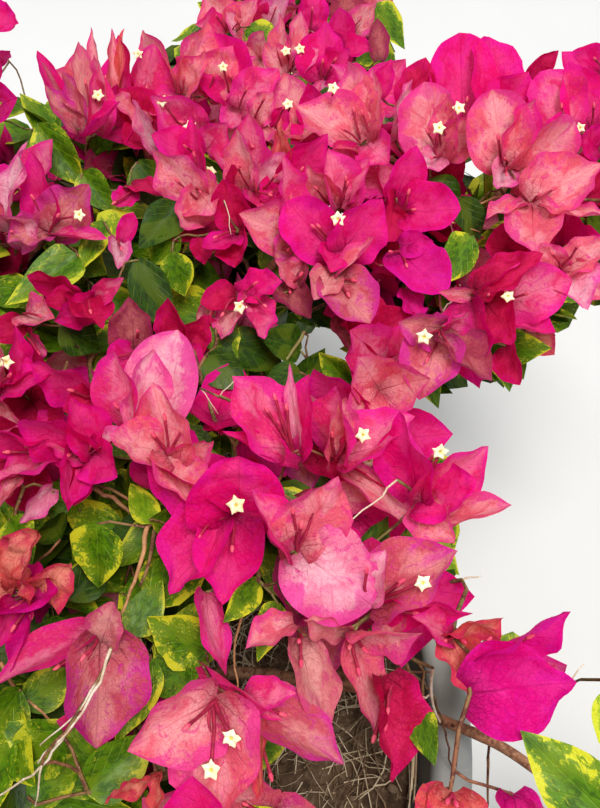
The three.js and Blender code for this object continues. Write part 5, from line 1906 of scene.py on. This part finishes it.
def blades_piece(name, near, far, material, outline, tune_near, tune_far, seed, fine, coarse, more=()):
    parts_v, fq, ft, uq, ut, count = [], [], [], [], [], 0
    sets = [(near, fine, tune_near, outline), (far, coarse, tune_far, outline), *more]
    for k, (rows, grid, tune, outline) in enumerate(sets):
        if not rows.rows:
            continue
        place, along, face, length, width = rows.arrays()
        v, f, u = blades(place, along, face, length, width, *grid, outline, seed + k, tune)
        parts_v.append(v)
        fq.append(f[0] + count)
        ft.append(f[1] + count)
        uq.append(u[0])
        ut.append(u[1])
        count += len(v)
    if not parts_v:
        return None
    ob = build(
        name,
        np.vstack(parts_v),
        [np.vstack(fq), np.vstack(ft)],
        material,
        [np.concatenate(uq), np.concatenate(ut)],
    )
    return ob


sizes = {}
for k, family in enumerate(FAMILIES):
    ob = blades_piece(
        "bracts_" + family, BRACTS[family], FAR_BRACTS[family], BRACT_MATERIALS[family], (BRACT_U, BRACT_F),
        DRY_TUNE if family == "coral" else HERO_TUNE, BRACT_TUNE, 200 + 10 * k, (18, 10), (7, 4),
        [(ROUNDED[family], (18, 10), ROUND_TUNE, (ROUND_U, ROUND_F))],
    )
    if ob is not None and family in ("magenta", "hot", "salmon"):
        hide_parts(*FOLIAGE)
for k, kind in enumerate(LEAF_KINDS):
    blades_piece(
        "leaves_" + kind, LEAF_SETS[kind], FAR_LEAVES[kind], LEAF_MATERIALS[kind], (LEAF_U, LEAF_F),
        PLACED_TUNE, LEAF_TUNE, 400 + 10 * k, (12, 8), (5, 4),
    )

twig_material = bark_material("twig_bark", (132, 84, 58), (176, 150, 118), (92, 52, 40), (112, 112, 58))
old_material = bark_material("old_bark", (166, 112, 82), (200, 164, 130), (116, 74, 54), (156, 124, 94))
trunk_material = bark_material("trunk_bark", (124, 102, 80), (168, 154, 134), (66, 52, 42), (110, 104, 84))
dry_material = speckled("dry_stalk", (214, 198, 178), (184, 160, 132), (232, 222, 206), 60.0)
tan_material = speckled("tan_stem", (180, 132, 88), (146, 100, 64), (200, 158, 112), 60.0)
straw_material = speckled("straw", (240, 222, 188), (218, 194, 156), (250, 238, 214), 50.0)
chip_material = speckled("old_straw", (156, 128, 98), (124, 98, 74), (178, 152, 120), 50.0)
crumb_material = speckled("crumb", (112, 90, 70), (146, 122, 98), (78, 60, 48), 40.0, bump=(0.6, 0.002))
tube_material = speckled("flower_tube", (132, 14, 48), (164, 30, 64), (100, 10, 36), 220.0, bump=(0.2, 0.0004))
tip_material = speckled("bud_tip", (206, 58, 96), (222, 96, 112), (178, 34, 74), 260.0, bump=(0.2, 0.0004))
star_material = speckled("star", (238, 230, 194), (228, 214, 158), (244, 238, 212), 320.0, bump=(0.2, 0.0003))
throat_material = speckled("throat", (222, 206, 96), (206, 178, 70), (232, 220, 130), 400.0, bump=(0.2, 0.0003))

twig_piece = twigs.made("twigs", twig_material, body_slot="bark")
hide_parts(*FOLIAGE)
bark_piece = bark.made("canes_bark", old_material, body_slot="bark")
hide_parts(*WOOD)
trunk_piece = trunk.made("trunk_bark", trunk_material, body_slot="bark")
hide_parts("trunk")
dry.made("dry_stalks", dry_material, body_slot="bark")
tan.made("tan_stems", tan_material, body_slot="bark")
straw.made("soil_straw", straw_material, body_slot="soil")
chips.made("soil_old_straw", chip_material, body_slot="soil")
crumbs.made("soil_crumbs", crumb_material, body_slot="soil")
tube_fine.made("flower_tubes", tube_material, body_slot="bracts")
tube_tips.made("flower_buds", tip_material, body_slot="bracts")
petals.made("flower_stars", star_material, body_slot="bracts")
throats.made("flower_throats", throat_material, body_slot="bracts")

# ------------------------------------------------------- floor and light ----
floor_nodes = Nodes("floor")
floor_at = floor_nodes.new("TexCoord").outputs["Object"]
floor_tone = floor_nodes.noise(floor_at, 5.0, 3, 0.5)
floor_material = floor_nodes.finish(
    floor_nodes.principled(
        floor_nodes.mix(floor_tone, linear(214, 213, 210), linear(222, 221, 218)), 0.85
    )
)
me = bpy.data.meshes.new("floor")
me.from_pydata([(-6, -6, -0.0005), (6, -6, -0.0005), (6, 6, -0.0005), (-6, 6, -0.0005)], [], [(0, 1, 2, 3)])
me.materials.append(floor_material)
floor = bpy.data.objects.new("floor", me)
bpy.context.scene.collection.objects.link(floor)
floor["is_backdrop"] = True

world = bpy.data.worlds.new("studio")
world.use_nodes = True
world.node_tree.nodes["Background"].inputs[0].default_value = (0.93, 0.96, 1.0, 1)
world.node_tree.nodes["Background"].inputs[1].default_value = 0.8
bpy.context.scene.world = world


def lamp(name, at, aim, size, power, colour=(1, 1, 1)):
    data = bpy.data.lights.new(name, "AREA")
    data.shape, data.size, data.energy, data.color = "SQUARE", size, power, colour
    ob = bpy.data.objects.new(name, data)
    ob.location = at
    from mathutils import Vector

    ob.rotation_mode = "QUATERNION"
    ob.rotation_quaternion = (Vector(aim) - Vector(at)).to_track_quat("-Z", "Y")
    bpy.context.scene.collection.objects.link(ob)
    ob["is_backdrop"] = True


lamp("key", (0.55, -0.35, 3.1), (0.1, 0.1, 0.4), 1.0, 80, (1.0, 0.98, 0.95))
lamp("fill", (-2.2, 0.9, 2.4), (0.1, 0.1, 0.4), 1.8, 20, (0.95, 0.97, 1.0))

camera_data = bpy.data.cameras.new("camera")
camera_data.sensor_width = 36.0
camera_data.lens = FOCAL / HIGH * 36.0
camera_data.clip_start, camera_data.clip_end = 0.01, 50
camera = bpy.data.objects.new("camera", camera_data)
camera.location = EYE
camera.rotation_euler = (math.pi / 2 - PITCH, 0, 0)
bpy.context.scene.collection.objects.link(camera)
bpy.context.scene.camera = camera
bpy.context.scene.view_settings.view_transform = "Standard"

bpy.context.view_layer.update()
total = 0
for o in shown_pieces():
    if o.type == "MESH":
        t = sum(len(p.vertices) - 2 for p in o.data.polygons)
        total += t
        print("piece", o.name, t)
print("triangles", total, counts, "tubes", len(tubes), "stars", len(stars))
